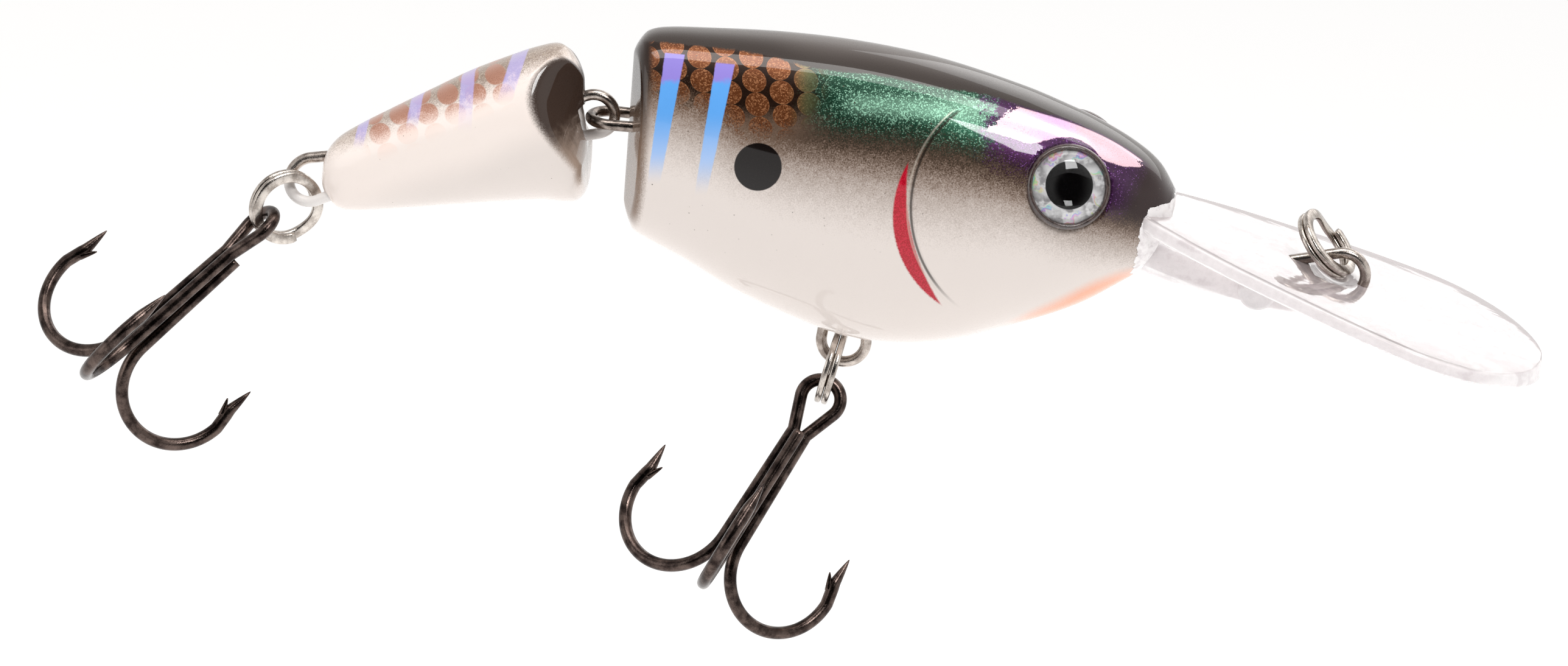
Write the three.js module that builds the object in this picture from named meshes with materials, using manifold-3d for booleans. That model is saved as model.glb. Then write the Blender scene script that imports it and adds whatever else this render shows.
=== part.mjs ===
// Jointed shad crankbait: a hollow two-piece body with a long diving lip, a swinging tail
// and two treble hooks. Millimetres, +X towards the nose, +Z towards the back of the fish.
// Everything is laid out from the tail joint; the finished lure is then moved so that the
// origin is the centre of the line-tie loop, where a line holds the lure up.

import * as THREE from 'three';
import { ParametricGeometry } from 'three/addons/geometries/ParametricGeometry.js';
import { mergeVertices } from 'three/addons/utils/BufferGeometryUtils.js';
import Module from 'manifold-3d';

const wasm = await Module();
wasm.setup();

// ---------------------------------------------------------------- driving dimensions

const WALL = 1.3;
const SPLIT_GAP = 0.06; // between the two moulded halves of a body
const WIRE = { radius: 0.45, sides: 8, steps: 32, pocket: 0.64, pocketSides: 6 };
const FIT = 0.12; // clearance round the lip where it enters the head
const BODY_POWER = 2.3; // roundness of the fish sections
const TAIL_DROOP = THREE.MathUtils.degToRad(20); // how far the tail hangs at rest

const FRONT = {
  rear: 1.9,
  nose: 46.4,
  rearHalfWidth: 0.45,
  wedgeDepth: 1.6,
  wedgeHalfWidth: 5.2,
  top: smooth([[1.9, 6.3], [2.3, 6.9], [2.9, 7.55], [4.2, 7.95], [7.3, 8.2], [13.7, 8.5], [20, 8.35],
    [26.4, 7.6], [33.5, 5.95], [37.4, 4.7], [39.6, 3.9], [42.9, 2.3], [45, 0.75], [46.4, -1.3]]),
  bottom: smooth([[1.9, -6.9], [2.3, -7.7], [2.9, -8.9], [4.2, -9.65], [7.3, -11], [11.4, -13.05],
    [16, -14.75], [20, -15.9], [22.5, -16.2], [26.4, -16], [30, -15.2], [33.5, -13.85],
    [37.4, -12.25], [40, -10.9], [42.9, -8.9], [45, -7.4], [46.4, -5.9]]),
  halfWidth: smooth([[1.9, 4.7], [4.6, 5.3], [8, 5.95], [12, 6.55], [18, 7.2], [24, 7.5], [28, 7.5],
    [33, 7.05], [37, 6.4], [41, 5.4], [44, 4.1], [45.6, 3], [46.4, 2]]),
};

// Tail outline, by distance behind the joint and height above the tail's own axis.
const TAIL = {
  end: 23.9,
  ridge: 1.65,
  ridgeLean: 0.264,
  ridgeHalfWidth: 0.4,
  scoop: (z) => Math.max(0, 0.337 + 0.137 * z), // how fast the front face falls back from its ridge
  top: smooth([[0.55, 4.4], [1.1, 5.85], [2.2, 6.75], [3.8, 6.9], [6.5, 6.68], [9.9, 6.25],
    [13.3, 5.55], [16.8, 4.8], [20.2, 4], [22, 3.35], [23.2, 2.3], [23.9, 0.8]]),
  bottom: smooth([[0.55, -3.4], [1.6, -4.6], [2.8, -5.5], [3.4, -5.95], [4.7, -5.85], [6.5, -5.25],
    [9.9, -4.6], [13.3, -4.05], [16.8, -3.5], [20.2, -2.95], [22, -2.6], [23.2, -2.1], [23.9, -1]]),
  halfWidth: smooth([[0.55, 4.3], [4, 5.2], [8, 4.9], [13, 4.1], [18, 3.3], [22, 2.5], [23.4, 1.7],
    [23.9, 1]]),
};

const LIP = {
  root: 40.5,
  widest: 67,
  tip: 77,
  halfWidest: 9.75,
  thickness: 1.7,
  middle: (x) => -3.5 - 0.303 * (x - 46),
  halfWidth: smooth([[40.5, 3], [43.5, 3.6], [45.5, 4.7], [50.7, 6.7], [55.8, 8], [62, 9.2], [67, 9.75]]),
  keelEnd: 61.5,
  keelBottom: smooth([[40.5, -6.2], [43.75, -7.6], [50, -9.5], [55, -10.3], [58, -10.3], [61.5, -9.3]]),
  keelHalfWidth: smooth([[40.5, 2.2], [44, 2.8], [54, 2.7], [58, 2], [61.5, 0.8]]),
  boss: { radius: 1.6, halfLength: 3.1 },
  scoop: { x: 60.7, z: -4, radius: 3.6 },
};

// Each wire hanger is one belt of wire round two circles: the eye that shows and the seat inside.
const TIE = { eye: [60.4, -6.8], radius: 1.83, seat: [53.8, -8], seatRadius: 1.25 };
const BELLY_EYE = { eye: [20.6, -16.9], radius: 1.83, seat: [20.6, -11.3], seatRadius: 1.25 };
const JOINT_FRONT = { eye: 0.55, radius: 1.75, seat: 8.4, seatRadius: 1.25 };
const JOINT_TAIL = { eye: [-0.81, 0.5], radius: 1.66, seat: [-8, 0.5], seatRadius: 1.15 };
const TAIL_EYE = {
  eye: [-24.9, 0.64], radius: 1.85, seat: [-18.6, 0.6], seatRadius: 1,
  twist: THREE.MathUtils.degToRad(35),
};

const RING = { radius: 2.65, radial: 0.9, axial: 0.54, pitch: 0.58, startDeg: 36, turns: 1.8, steps: 38 };

const HOOK = {
  wire: 0.525, bundle: 0.64, eyeRadius: 1.62, neck: 3.2,
  bendStart: 13.4, bendInner: 0.85, bendOuter: 10.6,
  tip: [10.2, 9.35], point: 2.3, barbFromTip: 2.1,
};

const EYE = {
  place: [38.2, 5.72, 0.2], normal: [0.23, 0.92, 0.33],
  disc: 3, discDepth: 0.7, discThickness: 0.4, socket: 3.65, recess: 3.2, dome: 1,
};

// Inside the front half: the blocks that hold the hangers and the twin rattle cells.
const FRONT_BLOCKS = {
  joint: { x: [4, 11.4], y: [-8, 8], z: [-1.7, 1.7] },
  belly: { x: [17.7, 23.5], y: [-2.6, 2.6], z: [-17, -8.6] },
  cells: { x: [12.4, 27.6], y: [-3.2, 3.2], z: [-7.7, -1.7] },
  web: { x: [12.4, 27.6], y: [-8, 8], z: [-5.3, -4.1] },
};
const TAIL_BLOCKS = {
  joint: { x: [-10.6, -2], y: [-6, 6], z: [-1.3, 2.3] },
  rear: { x: [-24, -16.6], y: [-6, 6], z: [-1.2, 2.4] },
};
const JOINT_RELIEF = { radius: 2.6, height: 2.6, z: 0.1 }; // hollow in the tail for the front's joint eye

const BALLAST = { x: 31, z: -8.8, radius: 3, halfLength: 4.5, clearance: 0.15, sleeve: 1.1 };
const RATTLE = { radius: 2, z: -4.7, cellLength: 6.6, cellHalf: 2.2, x: [16.3, 23.7] };

// Where the loose pieces hang at rest.
const RING_LIE = {
  tie: { through: [60.6, 0, -6.5], towardsCentre: [-0.654, 0.166, 0.738], normal: [0.726, -0.139, 0.674] },
  belly: { through: [20.3, 0, -16.7], towardsCentre: [-0.208, 0, -0.978], normal: [0.978, 0, -0.208] },
};
const TAIL_RING_TURN = THREE.MathUtils.degToRad(30); // the tail ring's plane, turned from the keel plane
const TAIL_RING_HANG = 3; // from the tail eye's centre to the ring's centre
const TAIL_HOOK_DOWN = THREE.MathUtils.degToRad(32); // where the treble sits round the tail ring
const BELLY_HOOK_DOWN = THREE.MathUtils.degToRad(26.5); // the same for the belly ring, from its lowest point
const HOOK_LIE = {
  belly: { shank: new THREE.Vector3(-0.428, -0.447, -0.786), single: new THREE.Vector3(0.108, -0.888, 0.446) },
  tail: { shank: new THREE.Vector3(-0.667, -0.339, -0.664), single: new THREE.Vector3(0.62, 0.241, -0.747) },
};
const EYE_SLACK = 0.15; // from the ring's wire to the centre of a treble's eye

const COLOURS = {
  paint: material(0xe6dcd8, 0.35, 0),
  lip: material(0xf3eeec, 0.1, 0),
  wire: material(0xb4aaa2, 0.3, 0.9),
  hook: material(0x3c3230, 0.25, 0.9),
  foil: material(0xc9ccd2, 0.2, 0.8),
  lens: material(0xf5f5f5, 0.05, 0),
  lead: material(0x6f7276, 0.5, 0.8),
  steel: material(0xb9bcc0, 0.15, 1),
};

// ---------------------------------------------------------------- helpers

function material(color, roughness, metalness) {
  return new THREE.MeshStandardMaterial({ color, roughness, metalness });
}

/** A smooth height over x through hand-chosen points. */
function smooth(points) {
  const last = points.length - 1;
  const slope = (i) => {
    const before = points[Math.max(i - 1, 0)];
    const after = points[Math.min(i + 1, last)];
    return (after[1] - before[1]) / (after[0] - before[0]);
  };
  return (x) => {
    const next = THREE.MathUtils.clamp(points.findIndex((p) => p[0] >= x), 1, last);
    const [[x0, y0], [x1, y1]] = [points[next - 1], points[next]];
    const h = x1 - x0;
    const t = THREE.MathUtils.clamp((x - x0) / h, 0, 1);
    const ease = t * t * (3 - 2 * t);
    return y0 + (y1 - y0) * ease
      + h * (slope(next - 1) * t * (1 - t) ** 2 - slope(next) * t * t * (1 - t));
  };
}

function toSolid(geometry, matrix) {
  const bare = geometry.clone();
  bare.deleteAttribute('uv');
  bare.deleteAttribute('normal');
  if (matrix) bare.applyMatrix4(matrix);
  const merged = mergeVertices(bare, 1e-4);
  const p = merged.attributes.position.array;
  const index = merged.index.array;
  const triangles = [];
  let volume = 0;
  for (let i = 0; i < index.length; i += 3) {
    const [a, b, c] = [index[i], index[i + 1], index[i + 2]];
    if (a === b || b === c || c === a) continue;
    triangles.push(a, b, c);
    const [A, B, C] = [a, b, c].map((k) => new THREE.Vector3().fromArray(p, 3 * k));
    volume += A.dot(B.cross(C));
  }
  if (volume < 0) triangles.reverse();
  return new wasm.Manifold(new wasm.Mesh({
    numProp: 3,
    vertProperties: Float32Array.from(p),
    triVerts: Uint32Array.from(triangles),
  }));
}

function toGeometry(solid) {
  const mesh = solid.getMesh();
  const geometry = new THREE.BufferGeometry();
  geometry.setAttribute('position', new THREE.BufferAttribute(mesh.vertProperties, 3));
  geometry.setIndex(new THREE.BufferAttribute(mesh.triVerts, 1));
  geometry.computeVertexNormals();
  return geometry;
}

const join = (...solids) => solids.reduce((whole, piece) => whole.add(piece));
const cut = (solid, ...tools) => tools.reduce((left, tool) => left.subtract(tool), solid);

function box([x0, x1], [y0, y1], [z0, z1]) {
  const geometry = new THREE.BoxGeometry(x1 - x0, y1 - y0, z1 - z0);
  geometry.translate((x0 + x1) / 2, (y0 + y1) / 2, (z0 + z1) / 2);
  return toSolid(geometry);
}

/** A cylinder lying across the fish. */
function crossCylinder(x, z, radius, halfLength, segments = 24) {
  const geometry = new THREE.CylinderGeometry(radius, radius, 2 * halfLength, segments);
  geometry.translate(x, 0, z);
  return toSolid(geometry);
}

/** A closed loft along x. edge(x) gives {top, bottom, halfWidth}; power sets how square it is. */
function loft(stations, sides, power, edge) {
  const rings = [stations[0], ...stations, stations.at(-1)];
  const end = rings.length - 1;
  const place = (u, v, out) => {
    const k = Math.round(v * end);
    const { top, bottom, halfWidth } = edge(rings[k]);
    const open = k === 0 || k === end ? 0 : 1;
    const angle = 2 * Math.PI * (u === 1 ? 0 : u);
    const bend = (c) => open * Math.sign(c) * Math.abs(c) ** (2 / power);
    const middle = (top + bottom) / 2;
    out.set(rings[k], halfWidth * bend(Math.cos(angle)), middle + (top - bottom) / 2 * bend(Math.sin(angle)));
  };
  return toSolid(new ParametricGeometry(place, sides, end));
}

const spread = (from, to, count) => Array.from({ length: count + 1 }, (_, i) => from + (to - from) * i / count);

/** A prism through the whole height, drawn as [x, y] corners. */
function uprightPrism(corners) {
  const shape = new THREE.Shape(corners.map(([x, y]) => new THREE.Vector2(x, y)));
  const geometry = new THREE.ExtrudeGeometry(shape, { depth: 60, bevelEnabled: false });
  geometry.translate(0, 0, -30);
  return toSolid(geometry);
}

/** The block between a face, given as its x over (y, z) and flat between the ys and zs, and far. */
function blockBehind(face, ys, zs, far) {
  const columns = ys.length;
  const corners = zs.flatMap((z) => ys.map((y) => [y, z]));
  const layer = (x) => corners.flatMap(([y, z]) => [x(y, z), y, z]);
  const index = [];
  const quad = (a, b, c, d) => index.push(a, b, c, a, c, d);
  const back = corners.length;
  for (let i = 0; i < zs.length - 1; i += 1) {
    for (let j = 0; j < columns - 1; j += 1) {
      const [a, b] = [i * columns + j, i * columns + j + 1];
      quad(a, b, b + columns, a + columns);
      quad(back + b, back + a, back + a + columns, back + b + columns);
    }
  }
  const along = (count, at) => Array.from({ length: count }, (_, k) => at(k));
  const outline = [
    ...along(columns - 1, (k) => k),
    ...along(zs.length - 1, (k) => k * columns + columns - 1),
    ...along(columns - 1, (k) => corners.length - 1 - k),
    ...along(zs.length - 1, (k) => (zs.length - 1 - k) * columns),
  ];
  outline.forEach((from, k) => {
    const to = outline[(k + 1) % outline.length];
    quad(to, from, back + from, back + to);
  });
  const geometry = new THREE.BufferGeometry();
  geometry.setAttribute('position', new THREE.Float32BufferAttribute([...layer(face), ...layer(() => far)], 3));
  geometry.setIndex(index);
  return toSolid(geometry);
}

function roundSection(radius, sides) {
  const corner = (_, i) => {
    const angle = 2 * Math.PI * (i + 0.5) / sides;
    return new THREE.Vector2(radius * Math.cos(angle), radius * Math.sin(angle));
  };
  return new THREE.Shape(Array.from({ length: sides }, corner));
}

function sweep(path, section, steps) {
  return toSolid(new THREE.ExtrudeGeometry(section, { extrudePath: path, steps, bevelEnabled: false }));
}

class Arc extends THREE.Curve {
  constructor(centre, across, along, radius, from, to) {
    super();
    Object.assign(this, { centre, across, along, radius, from, to });
  }

  getPoint(t) {
    const angle = this.from + (this.to - this.from) * t;
    return this.centre.clone()
      .addScaledVector(this.across, this.radius * Math.cos(angle))
      .addScaledVector(this.along, this.radius * Math.sin(angle));
  }
}

function chain(...curves) {
  const path = new THREE.CurvePath();
  path.arcLengthDivisions = 600;
  curves.forEach((curve) => path.add(curve));
  return path;
}

// ---------------------------------------------------------------- wire hangers

/** The belt of wire round the eye and the seat, with its two ends butted behind the seat, or its pocket. */
function hangerWire(eye, eyeRadius, seat, seatRadius, side, pocket) {
  const out = eye.clone().sub(seat).normalize();
  const reach = eye.distanceTo(seat);
  const lean = Math.asin((eyeRadius - seatRadius) / reach);
  const butt = 0.12;
  const half = Math.PI / 2 + lean;
  const leg = (sign, centre, radius) => centre.clone()
    .addScaledVector(out, -radius * Math.sin(lean))
    .addScaledVector(side, sign * radius * Math.cos(lean));
  const path = chain(
    new Arc(seat, out, side, seatRadius, Math.PI + butt, 2 * Math.PI - half),
    new THREE.LineCurve3(leg(-1, seat, seatRadius), leg(-1, eye, eyeRadius)),
    new Arc(eye, out, side, eyeRadius, -half, half),
    new THREE.LineCurve3(leg(1, eye, eyeRadius), leg(1, seat, seatRadius)),
    new Arc(seat, out, side, seatRadius, half, Math.PI - butt),
  );
  const section = pocket ? roundSection(WIRE.pocket, WIRE.pocketSides) : roundSection(WIRE.radius, WIRE.sides);
  return sweep(path, section, WIRE.steps);
}

const inKeelPlane = ([x, z]) => new THREE.Vector3(x, 0, z);

function keelHanger({ eye, radius, seat, seatRadius, twist = 0 }, pocket = false) {
  const out = inKeelPlane(eye).sub(inKeelPlane(seat)).normalize();
  const across = new THREE.Vector3(0, 1, 0);
  const side = new THREE.Vector3().crossVectors(out, across).applyAxisAngle(out, twist);
  return hangerWire(inKeelPlane(eye), radius, inKeelPlane(seat), seatRadius, side, pocket);
}

function jointFrontHanger(pocket = false) {
  const { eye, radius, seat, seatRadius } = JOINT_FRONT;
  return hangerWire(
    new THREE.Vector3(eye, 0, 0), radius, new THREE.Vector3(seat, 0, 0), seatRadius,
    new THREE.Vector3(0, 1, 0), pocket,
  );
}

// ---------------------------------------------------------------- split rings

class SplitRingPath extends THREE.Curve {
  getPoint(t) {
    const degrees = RING.startDeg + 360 * RING.turns * t;
    const jog = THREE.MathUtils.smoothstep(degrees, 330, 390);
    const angle = THREE.MathUtils.degToRad(degrees);
    return new THREE.Vector3(
      RING.radius * Math.cos(angle), RING.radius * Math.sin(angle), RING.pitch * (jog - 0.5),
    );
  }
}

/** The flattened wire's section: axial thickness along x, radial width along y. */
function ringSection() {
  const [a, r] = [RING.axial / 2, RING.radial / 2];
  const chamfer = 0.13;
  const corners = [[a, r - chamfer], [a - chamfer, r], [chamfer - a, r], [-a, r - chamfer],
    [-a, chamfer - r], [chamfer - a, -r], [a - chamfer, -r], [a, chamfer - r]];
  return new THREE.Shape(corners.map(([x, y]) => new THREE.Vector2(x, y)));
}

/** A split ring round its own z axis, with its wire ends towards its x axis. */
const splitRing = () => sweep(new SplitRingPath(), ringSection(), RING.steps);

/** Stands a ring by its centre, its axis and the direction in which its wire ends lie. */
function ringStand(centre, normal, endsTowards) {
  const z = normal.clone().normalize();
  const y = new THREE.Vector3().crossVectors(z, endsTowards).normalize();
  const x = new THREE.Vector3().crossVectors(y, z);
  return new THREE.Matrix4().makeBasis(x, y, z).setPosition(centre);
}

function ringThrough({ through, towardsCentre, normal }, endsTowards) {
  const centre = new THREE.Vector3(...through)
    .addScaledVector(new THREE.Vector3(...towardsCentre).normalize(), RING.radius);
  return ringStand(centre, new THREE.Vector3(...normal), new THREE.Vector3(...endsTowards));
}

// ---------------------------------------------------------------- treble hooks
// Local frame: origin at the centre of the eye, z down the shank, x in the plane of the eye,
// y towards the single hook.

const hookSide = (azimuth) => new THREE.Vector3(Math.cos(azimuth), Math.sin(azimuth), 0);
const DOWN = new THREE.Vector3(0, 0, 1);

function hookPlace(outward, r, s) {
  return new THREE.Vector3(0, HOOK.bundle / 2, s).addScaledVector(outward, r);
}

/** Curves from the base of the point, round the bend and up the shank to the neck. */
function hookLeg(outward) {
  const { bendInner, bendOuter, bendStart, tip, point, bundle, neck } = HOOK;
  const radius = (bendOuter - bendInner) / 2;
  const centre = hookPlace(outward, bendInner + radius, bendStart);
  return [
    new THREE.LineCurve3(
      hookPlace(outward, tip[0], tip[1] + point - 0.1), hookPlace(outward, bendOuter, bendStart),
    ),
    new Arc(centre, outward, DOWN, radius, 0, Math.PI),
    new THREE.LineCurve3(hookPlace(outward, bendInner, bendStart), hookPlace(outward, bundle, neck)),
  ];
}

function hookPoint(outward) {
  const { tip, point, wire, barbFromTip } = HOOK;
  const cone = new THREE.LatheGeometry([
    new THREE.Vector2(0, 0), new THREE.Vector2(wire, 0), new THREE.Vector2(0.3, 0.6 * point),
    new THREE.Vector2(0.06, point), new THREE.Vector2(0, point),
  ], WIRE.sides);
  cone.rotateX(-Math.PI / 2);
  const base = hookPlace(outward, tip[0], tip[1] + point);
  const barbShape = new THREE.Shape([[0, 0.9], [0, -0.6], [1, -0.25]].map(([x, y]) => new THREE.Vector2(x, y)));
  const barb = new THREE.ExtrudeGeometry(barbShape, { depth: 0.36, bevelEnabled: false });
  barb.translate(0, 0, -0.18);
  const inward = outward.clone().negate();
  const turn = new THREE.Matrix4().makeBasis(inward, DOWN, new THREE.Vector3().crossVectors(inward, DOWN));
  turn.setPosition(hookPlace(outward, tip[0] - 0.1, tip[1] + barbFromTip));
  return join(toSolid(cone, new THREE.Matrix4().setPosition(base)), toSolid(barb, turn));
}

/** The curve back along another one. */
class Reversed extends THREE.Curve {
  constructor(curve) {
    super();
    this.curve = curve;
  }

  getPoint(t) {
    return this.curve.getPoint(1 - t);
  }
}

function doubleHook() {
  const [right, left] = [hookSide(-Math.PI / 6), hookSide(-5 * Math.PI / 6)];
  const neck = hookPlace(right, HOOK.bundle, HOOK.neck);
  const eyePlane = new THREE.Vector3(0, neck.y, 0);
  const far = Math.hypot(neck.x, neck.z);
  const touch = Math.atan2(neck.z, neck.x) - Math.acos(HOOK.eyeRadius / far);
  const across = new THREE.Vector3(1, 0, 0);
  const onEye = (sign) => new THREE.Vector3(
    sign * HOOK.eyeRadius * Math.cos(touch), eyePlane.y, HOOK.eyeRadius * Math.sin(touch),
  );
  const path = chain(
    ...hookLeg(right),
    new THREE.LineCurve3(neck, onEye(1)),
    new Arc(eyePlane, across, DOWN, HOOK.eyeRadius, touch, -Math.PI - touch),
    new THREE.LineCurve3(onEye(-1), new THREE.Vector3(-neck.x, neck.y, neck.z)),
    ...hookLeg(left).reverse().map((curve) => new Reversed(curve)),
  );
  return join(sweep(path, roundSection(HOOK.wire, WIRE.sides), 84), hookPoint(right), hookPoint(left));
}

function singleHook() {
  const outward = hookSide(Math.PI / 2);
  return join(sweep(chain(...hookLeg(outward)), roundSection(HOOK.wire, WIRE.sides), 34), hookPoint(outward));
}

/** Stands a treble with its eye round a ring's wire: the shank's direction and the single hook's. */
function trebleStand(through, { shank, single }) {
  const z = shank.clone().normalize();
  const y = single.clone().addScaledVector(z, -single.dot(z)).normalize();
  const x = new THREE.Vector3().crossVectors(y, z);
  return new THREE.Matrix4().makeBasis(x, y, z).setPosition(through.clone().addScaledVector(z, EYE_SLACK));
}

// ---------------------------------------------------------------- diving lip

function lipBlank(extra = 0) {
  const { root, widest, tip, halfWidest, thickness, middle, halfWidth } = LIP;
  const half = thickness / 2 + extra;
  const nearTip = (x) => halfWidest * Math.sqrt(Math.max(1 - ((x - widest) / (tip - widest)) ** 2, 0.004));
  const curved = spread(0, Math.PI / 2, 7).map((a) => widest + (tip - widest) * Math.sin(a));
  const plate = loft([...spread(root - extra, 64, 8), ...curved], 24, 5, (x) => ({
    top: middle(x) + half,
    bottom: middle(x) - half,
    halfWidth: (x > widest ? nearTip(x) : halfWidth(x)) + extra,
  }));
  const keel = loft(spread(root - extra, LIP.keelEnd, 6), 16, 5, (x) => ({
    top: middle(x),
    bottom: LIP.keelBottom(x) - extra,
    halfWidth: LIP.keelHalfWidth(x) + extra,
  }));
  return join(plate, keel);
}

function divingLip() {
  const boss = crossCylinder(TIE.seat[0], TIE.seat[1], LIP.boss.radius, LIP.boss.halfLength);
  const scoop = new THREE.SphereGeometry(LIP.scoop.radius, 16, 14);
  scoop.translate(LIP.scoop.x, 0, LIP.scoop.z);
  return cut(join(lipBlank(), boss), keelHanger(TIE, true), toSolid(scoop));
}

// ---------------------------------------------------------------- eyes

/** A turned piece on the eye's axis, as [radius, height] corners, on one side of the head. */
function eyePiece(side, profile) {
  const lathe = new THREE.LatheGeometry(profile.map(([r, h]) => new THREE.Vector2(r, h)), 20);
  const axis = new THREE.Vector3(EYE.normal[0], side * EYE.normal[1], EYE.normal[2]).normalize();
  const turn = new THREE.Quaternion().setFromUnitVectors(new THREE.Vector3(0, 1, 0), axis);
  const place = new THREE.Vector3(EYE.place[0], side * EYE.place[1], EYE.place[2]);
  return toSolid(lathe, new THREE.Matrix4().compose(place, turn, new THREE.Vector3(1, 1, 1)));
}

const disc = (radius, low, high) => [[0, low], [radius, low], [radius, high], [0, high]];

function eyeLens(side) {
  const low = -EYE.discDepth + EYE.discThickness + 0.05;
  const rise = (a) => [EYE.disc * Math.cos(a), low + 0.12 + EYE.dome * Math.sin(a)];
  return eyePiece(side, [[0, low], [EYE.disc, low], ...spread(0, Math.PI / 2, 4).map(rise)]);
}

// ---------------------------------------------------------------- moulded bodies

/** The half of a moulding on one side of the keel plane. */
function halfOf(solid, side) {
  const reach = side > 0 ? [SPLIT_GAP / 2, 30] : [-30, -SPLIT_GAP / 2];
  return solid.intersect(box([-60, 100], reach, [-60, 60]));
}

const blocks = (set) => Object.values(set).map(({ x, y, z }) => box(x, y, z));

/** Keeps everything ahead of the front half's blunt wedge. */
function frontWedge() {
  const { rear, rearHalfWidth: tip, wedgeDepth, wedgeHalfWidth: full } = FRONT;
  const step = rear + wedgeDepth;
  return uprightPrism([[rear, tip], [rear, -tip], [step, -full], [step, -20], [60, -20], [60, 20],
    [step, 20], [step, full]]);
}

/** Keeps everything behind the tail's scooped face. */
function tailFace() {
  const { ridge, ridgeLean, ridgeHalfWidth: tip, scoop } = TAIL;
  const face = (y, z) => -(ridge - ridgeLean * z + scoop(z) * (Math.abs(y) - tip));
  return blockBehind(face, [-9, -tip, tip, 9], [-9, -2.46, 0, 2, 4, 6, 9], -40);
}

function frontMoulding() {
  const { nose, top, bottom, halfWidth } = FRONT;
  const stations = [1.9, 2.3, 2.9, 4.2, ...spread(7, 42, 9), 44, 45.5, nose];
  const outline = (inset) => (x) => ({
    top: top(x) - inset, bottom: bottom(x) + inset, halfWidth: halfWidth(x) - inset,
  });
  const outer = loft(stations, 28, BODY_POWER, outline(0))
    .intersect(frontWedge());
  const cavity = loft(spread(6.4, 38, 7), 16, BODY_POWER, outline(WALL));
  const cells = RATTLE.x.map((x) => box(
    [x - RATTLE.cellLength / 2, x + RATTLE.cellLength / 2], [-RATTLE.cellHalf, RATTLE.cellHalf],
    [RATTLE.z - RATTLE.cellHalf, RATTLE.z + RATTLE.cellHalf],
  ));
  const ribs = join(
    ...blocks(FRONT_BLOCKS),
    crossCylinder(BALLAST.x, BALLAST.z, BALLAST.radius + BALLAST.sleeve, 8),
  ).intersect(outer);
  const sockets = [-1, 1].map((side) => eyePiece(side, disc(EYE.socket, -2.6, 0.3)));
  const recesses = [-1, 1].map((side) => eyePiece(side, disc(EYE.recess, -EYE.discDepth - 0.05, 2)));
  return cut(
    join(cut(outer, cavity), ribs, ...sockets),
    ...recesses,
    ...cells,
    crossCylinder(BALLAST.x, BALLAST.z, BALLAST.radius + BALLAST.clearance, BALLAST.halfLength + 0.2),
    lipBlank(FIT),
    jointFrontHanger(true),
    keelHanger(BELLY_EYE, true),
  );
}

/** The tail in its own frame: origin at the joint, x towards the joint's front. */
function tailMoulding() {
  const edge = (inset) => (x) => ({
    top: TAIL.top(-x) - inset, bottom: TAIL.bottom(-x) + inset, halfWidth: TAIL.halfWidth(-x) - inset,
  });
  const stations = [0.55, 1.1, 2.2, 2.8, 3.4, 4.7, ...spread(7, 22, 4), 23.2, TAIL.end];
  const outer = loft(stations.map((a) => -a), 24, BODY_POWER, edge(0)).intersect(tailFace());
  const cavity = loft(spread(-6.8, -20.6, 4), 12, BODY_POWER, edge(WALL - 0.2));
  const ribs = join(...blocks(TAIL_BLOCKS)).intersect(outer);
  const relief = new THREE.CylinderGeometry(JOINT_RELIEF.radius, JOINT_RELIEF.radius, JOINT_RELIEF.height, 24);
  relief.rotateX(Math.PI / 2);
  relief.translate(JOINT_FRONT.eye * Math.cos(TAIL_DROOP), 0, JOINT_RELIEF.z);
  return cut(
    join(cut(outer, cavity), ribs),
    toSolid(relief),
    keelHanger(JOINT_TAIL, true),
    keelHanger(TAIL_EYE, true),
  );
}

// ---------------------------------------------------------------- assembly

const lure = new THREE.Group();
lure.position.set(-TIE.eye[0], 0, -TIE.eye[1]);

const tail = new THREE.Group();
tail.rotation.y = -TAIL_DROOP;
lure.add(tail);

function place(parent, name, solid, look) {
  const mesh = new THREE.Mesh(toGeometry(solid), look.clone());
  mesh.name = name;
  parent.add(mesh);
  return mesh;
}

const SIDES = { right: -1, left: 1 }; // the fish's own right side is towards -Y

const front = frontMoulding();
const tailBody = tailMoulding();
for (const [name, side] of Object.entries(SIDES)) {
  place(lure, `front_shell_${name}`, halfOf(front, side), COLOURS.paint);
  place(tail, `tail_shell_${name}`, halfOf(tailBody, side), COLOURS.paint);
  const { disc: radius, discDepth, discThickness } = EYE;
  const foil = eyePiece(side, disc(radius, -discDepth, discThickness - discDepth));
  place(lure, `eye_disc_${name}`, foil, COLOURS.foil);
  place(lure, `eye_lens_${name}`, eyeLens(side), COLOURS.lens);
}

place(lure, 'diving_lip', divingLip(), COLOURS.lip);
place(lure, 'line_tie_hanger', keelHanger(TIE), COLOURS.wire);
place(lure, 'belly_hanger', keelHanger(BELLY_EYE), COLOURS.wire);
place(lure, 'joint_hanger_front', jointFrontHanger(), COLOURS.wire);
place(tail, 'joint_hanger_tail', keelHanger(JOINT_TAIL), COLOURS.wire);
place(tail, 'tail_hanger', keelHanger(TAIL_EYE), COLOURS.wire);

const ballast = crossCylinder(BALLAST.x, BALLAST.z, BALLAST.radius, BALLAST.halfLength);
place(lure, 'ballast_weight', ballast, COLOURS.lead);
RATTLE.x.forEach((x, i) => {
  const ball = new THREE.SphereGeometry(RATTLE.radius, 14, 10);
  ball.translate(x, 0, RATTLE.z);
  place(lure, `rattle_ball_${['rear', 'front'][i]}`, toSolid(ball), COLOURS.steel);
});

function placeRing(name, stand) {
  place(lure, name, splitRing(), COLOURS.wire).applyMatrix4(stand);
}

function placeTreble(name, stand) {
  const treble = new THREE.Group();
  treble.applyMatrix4(stand);
  lure.add(treble);
  place(treble, `${name}_double`, doubleHook(), COLOURS.hook);
  place(treble, `${name}_single`, singleHook(), COLOURS.hook);
}

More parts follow.
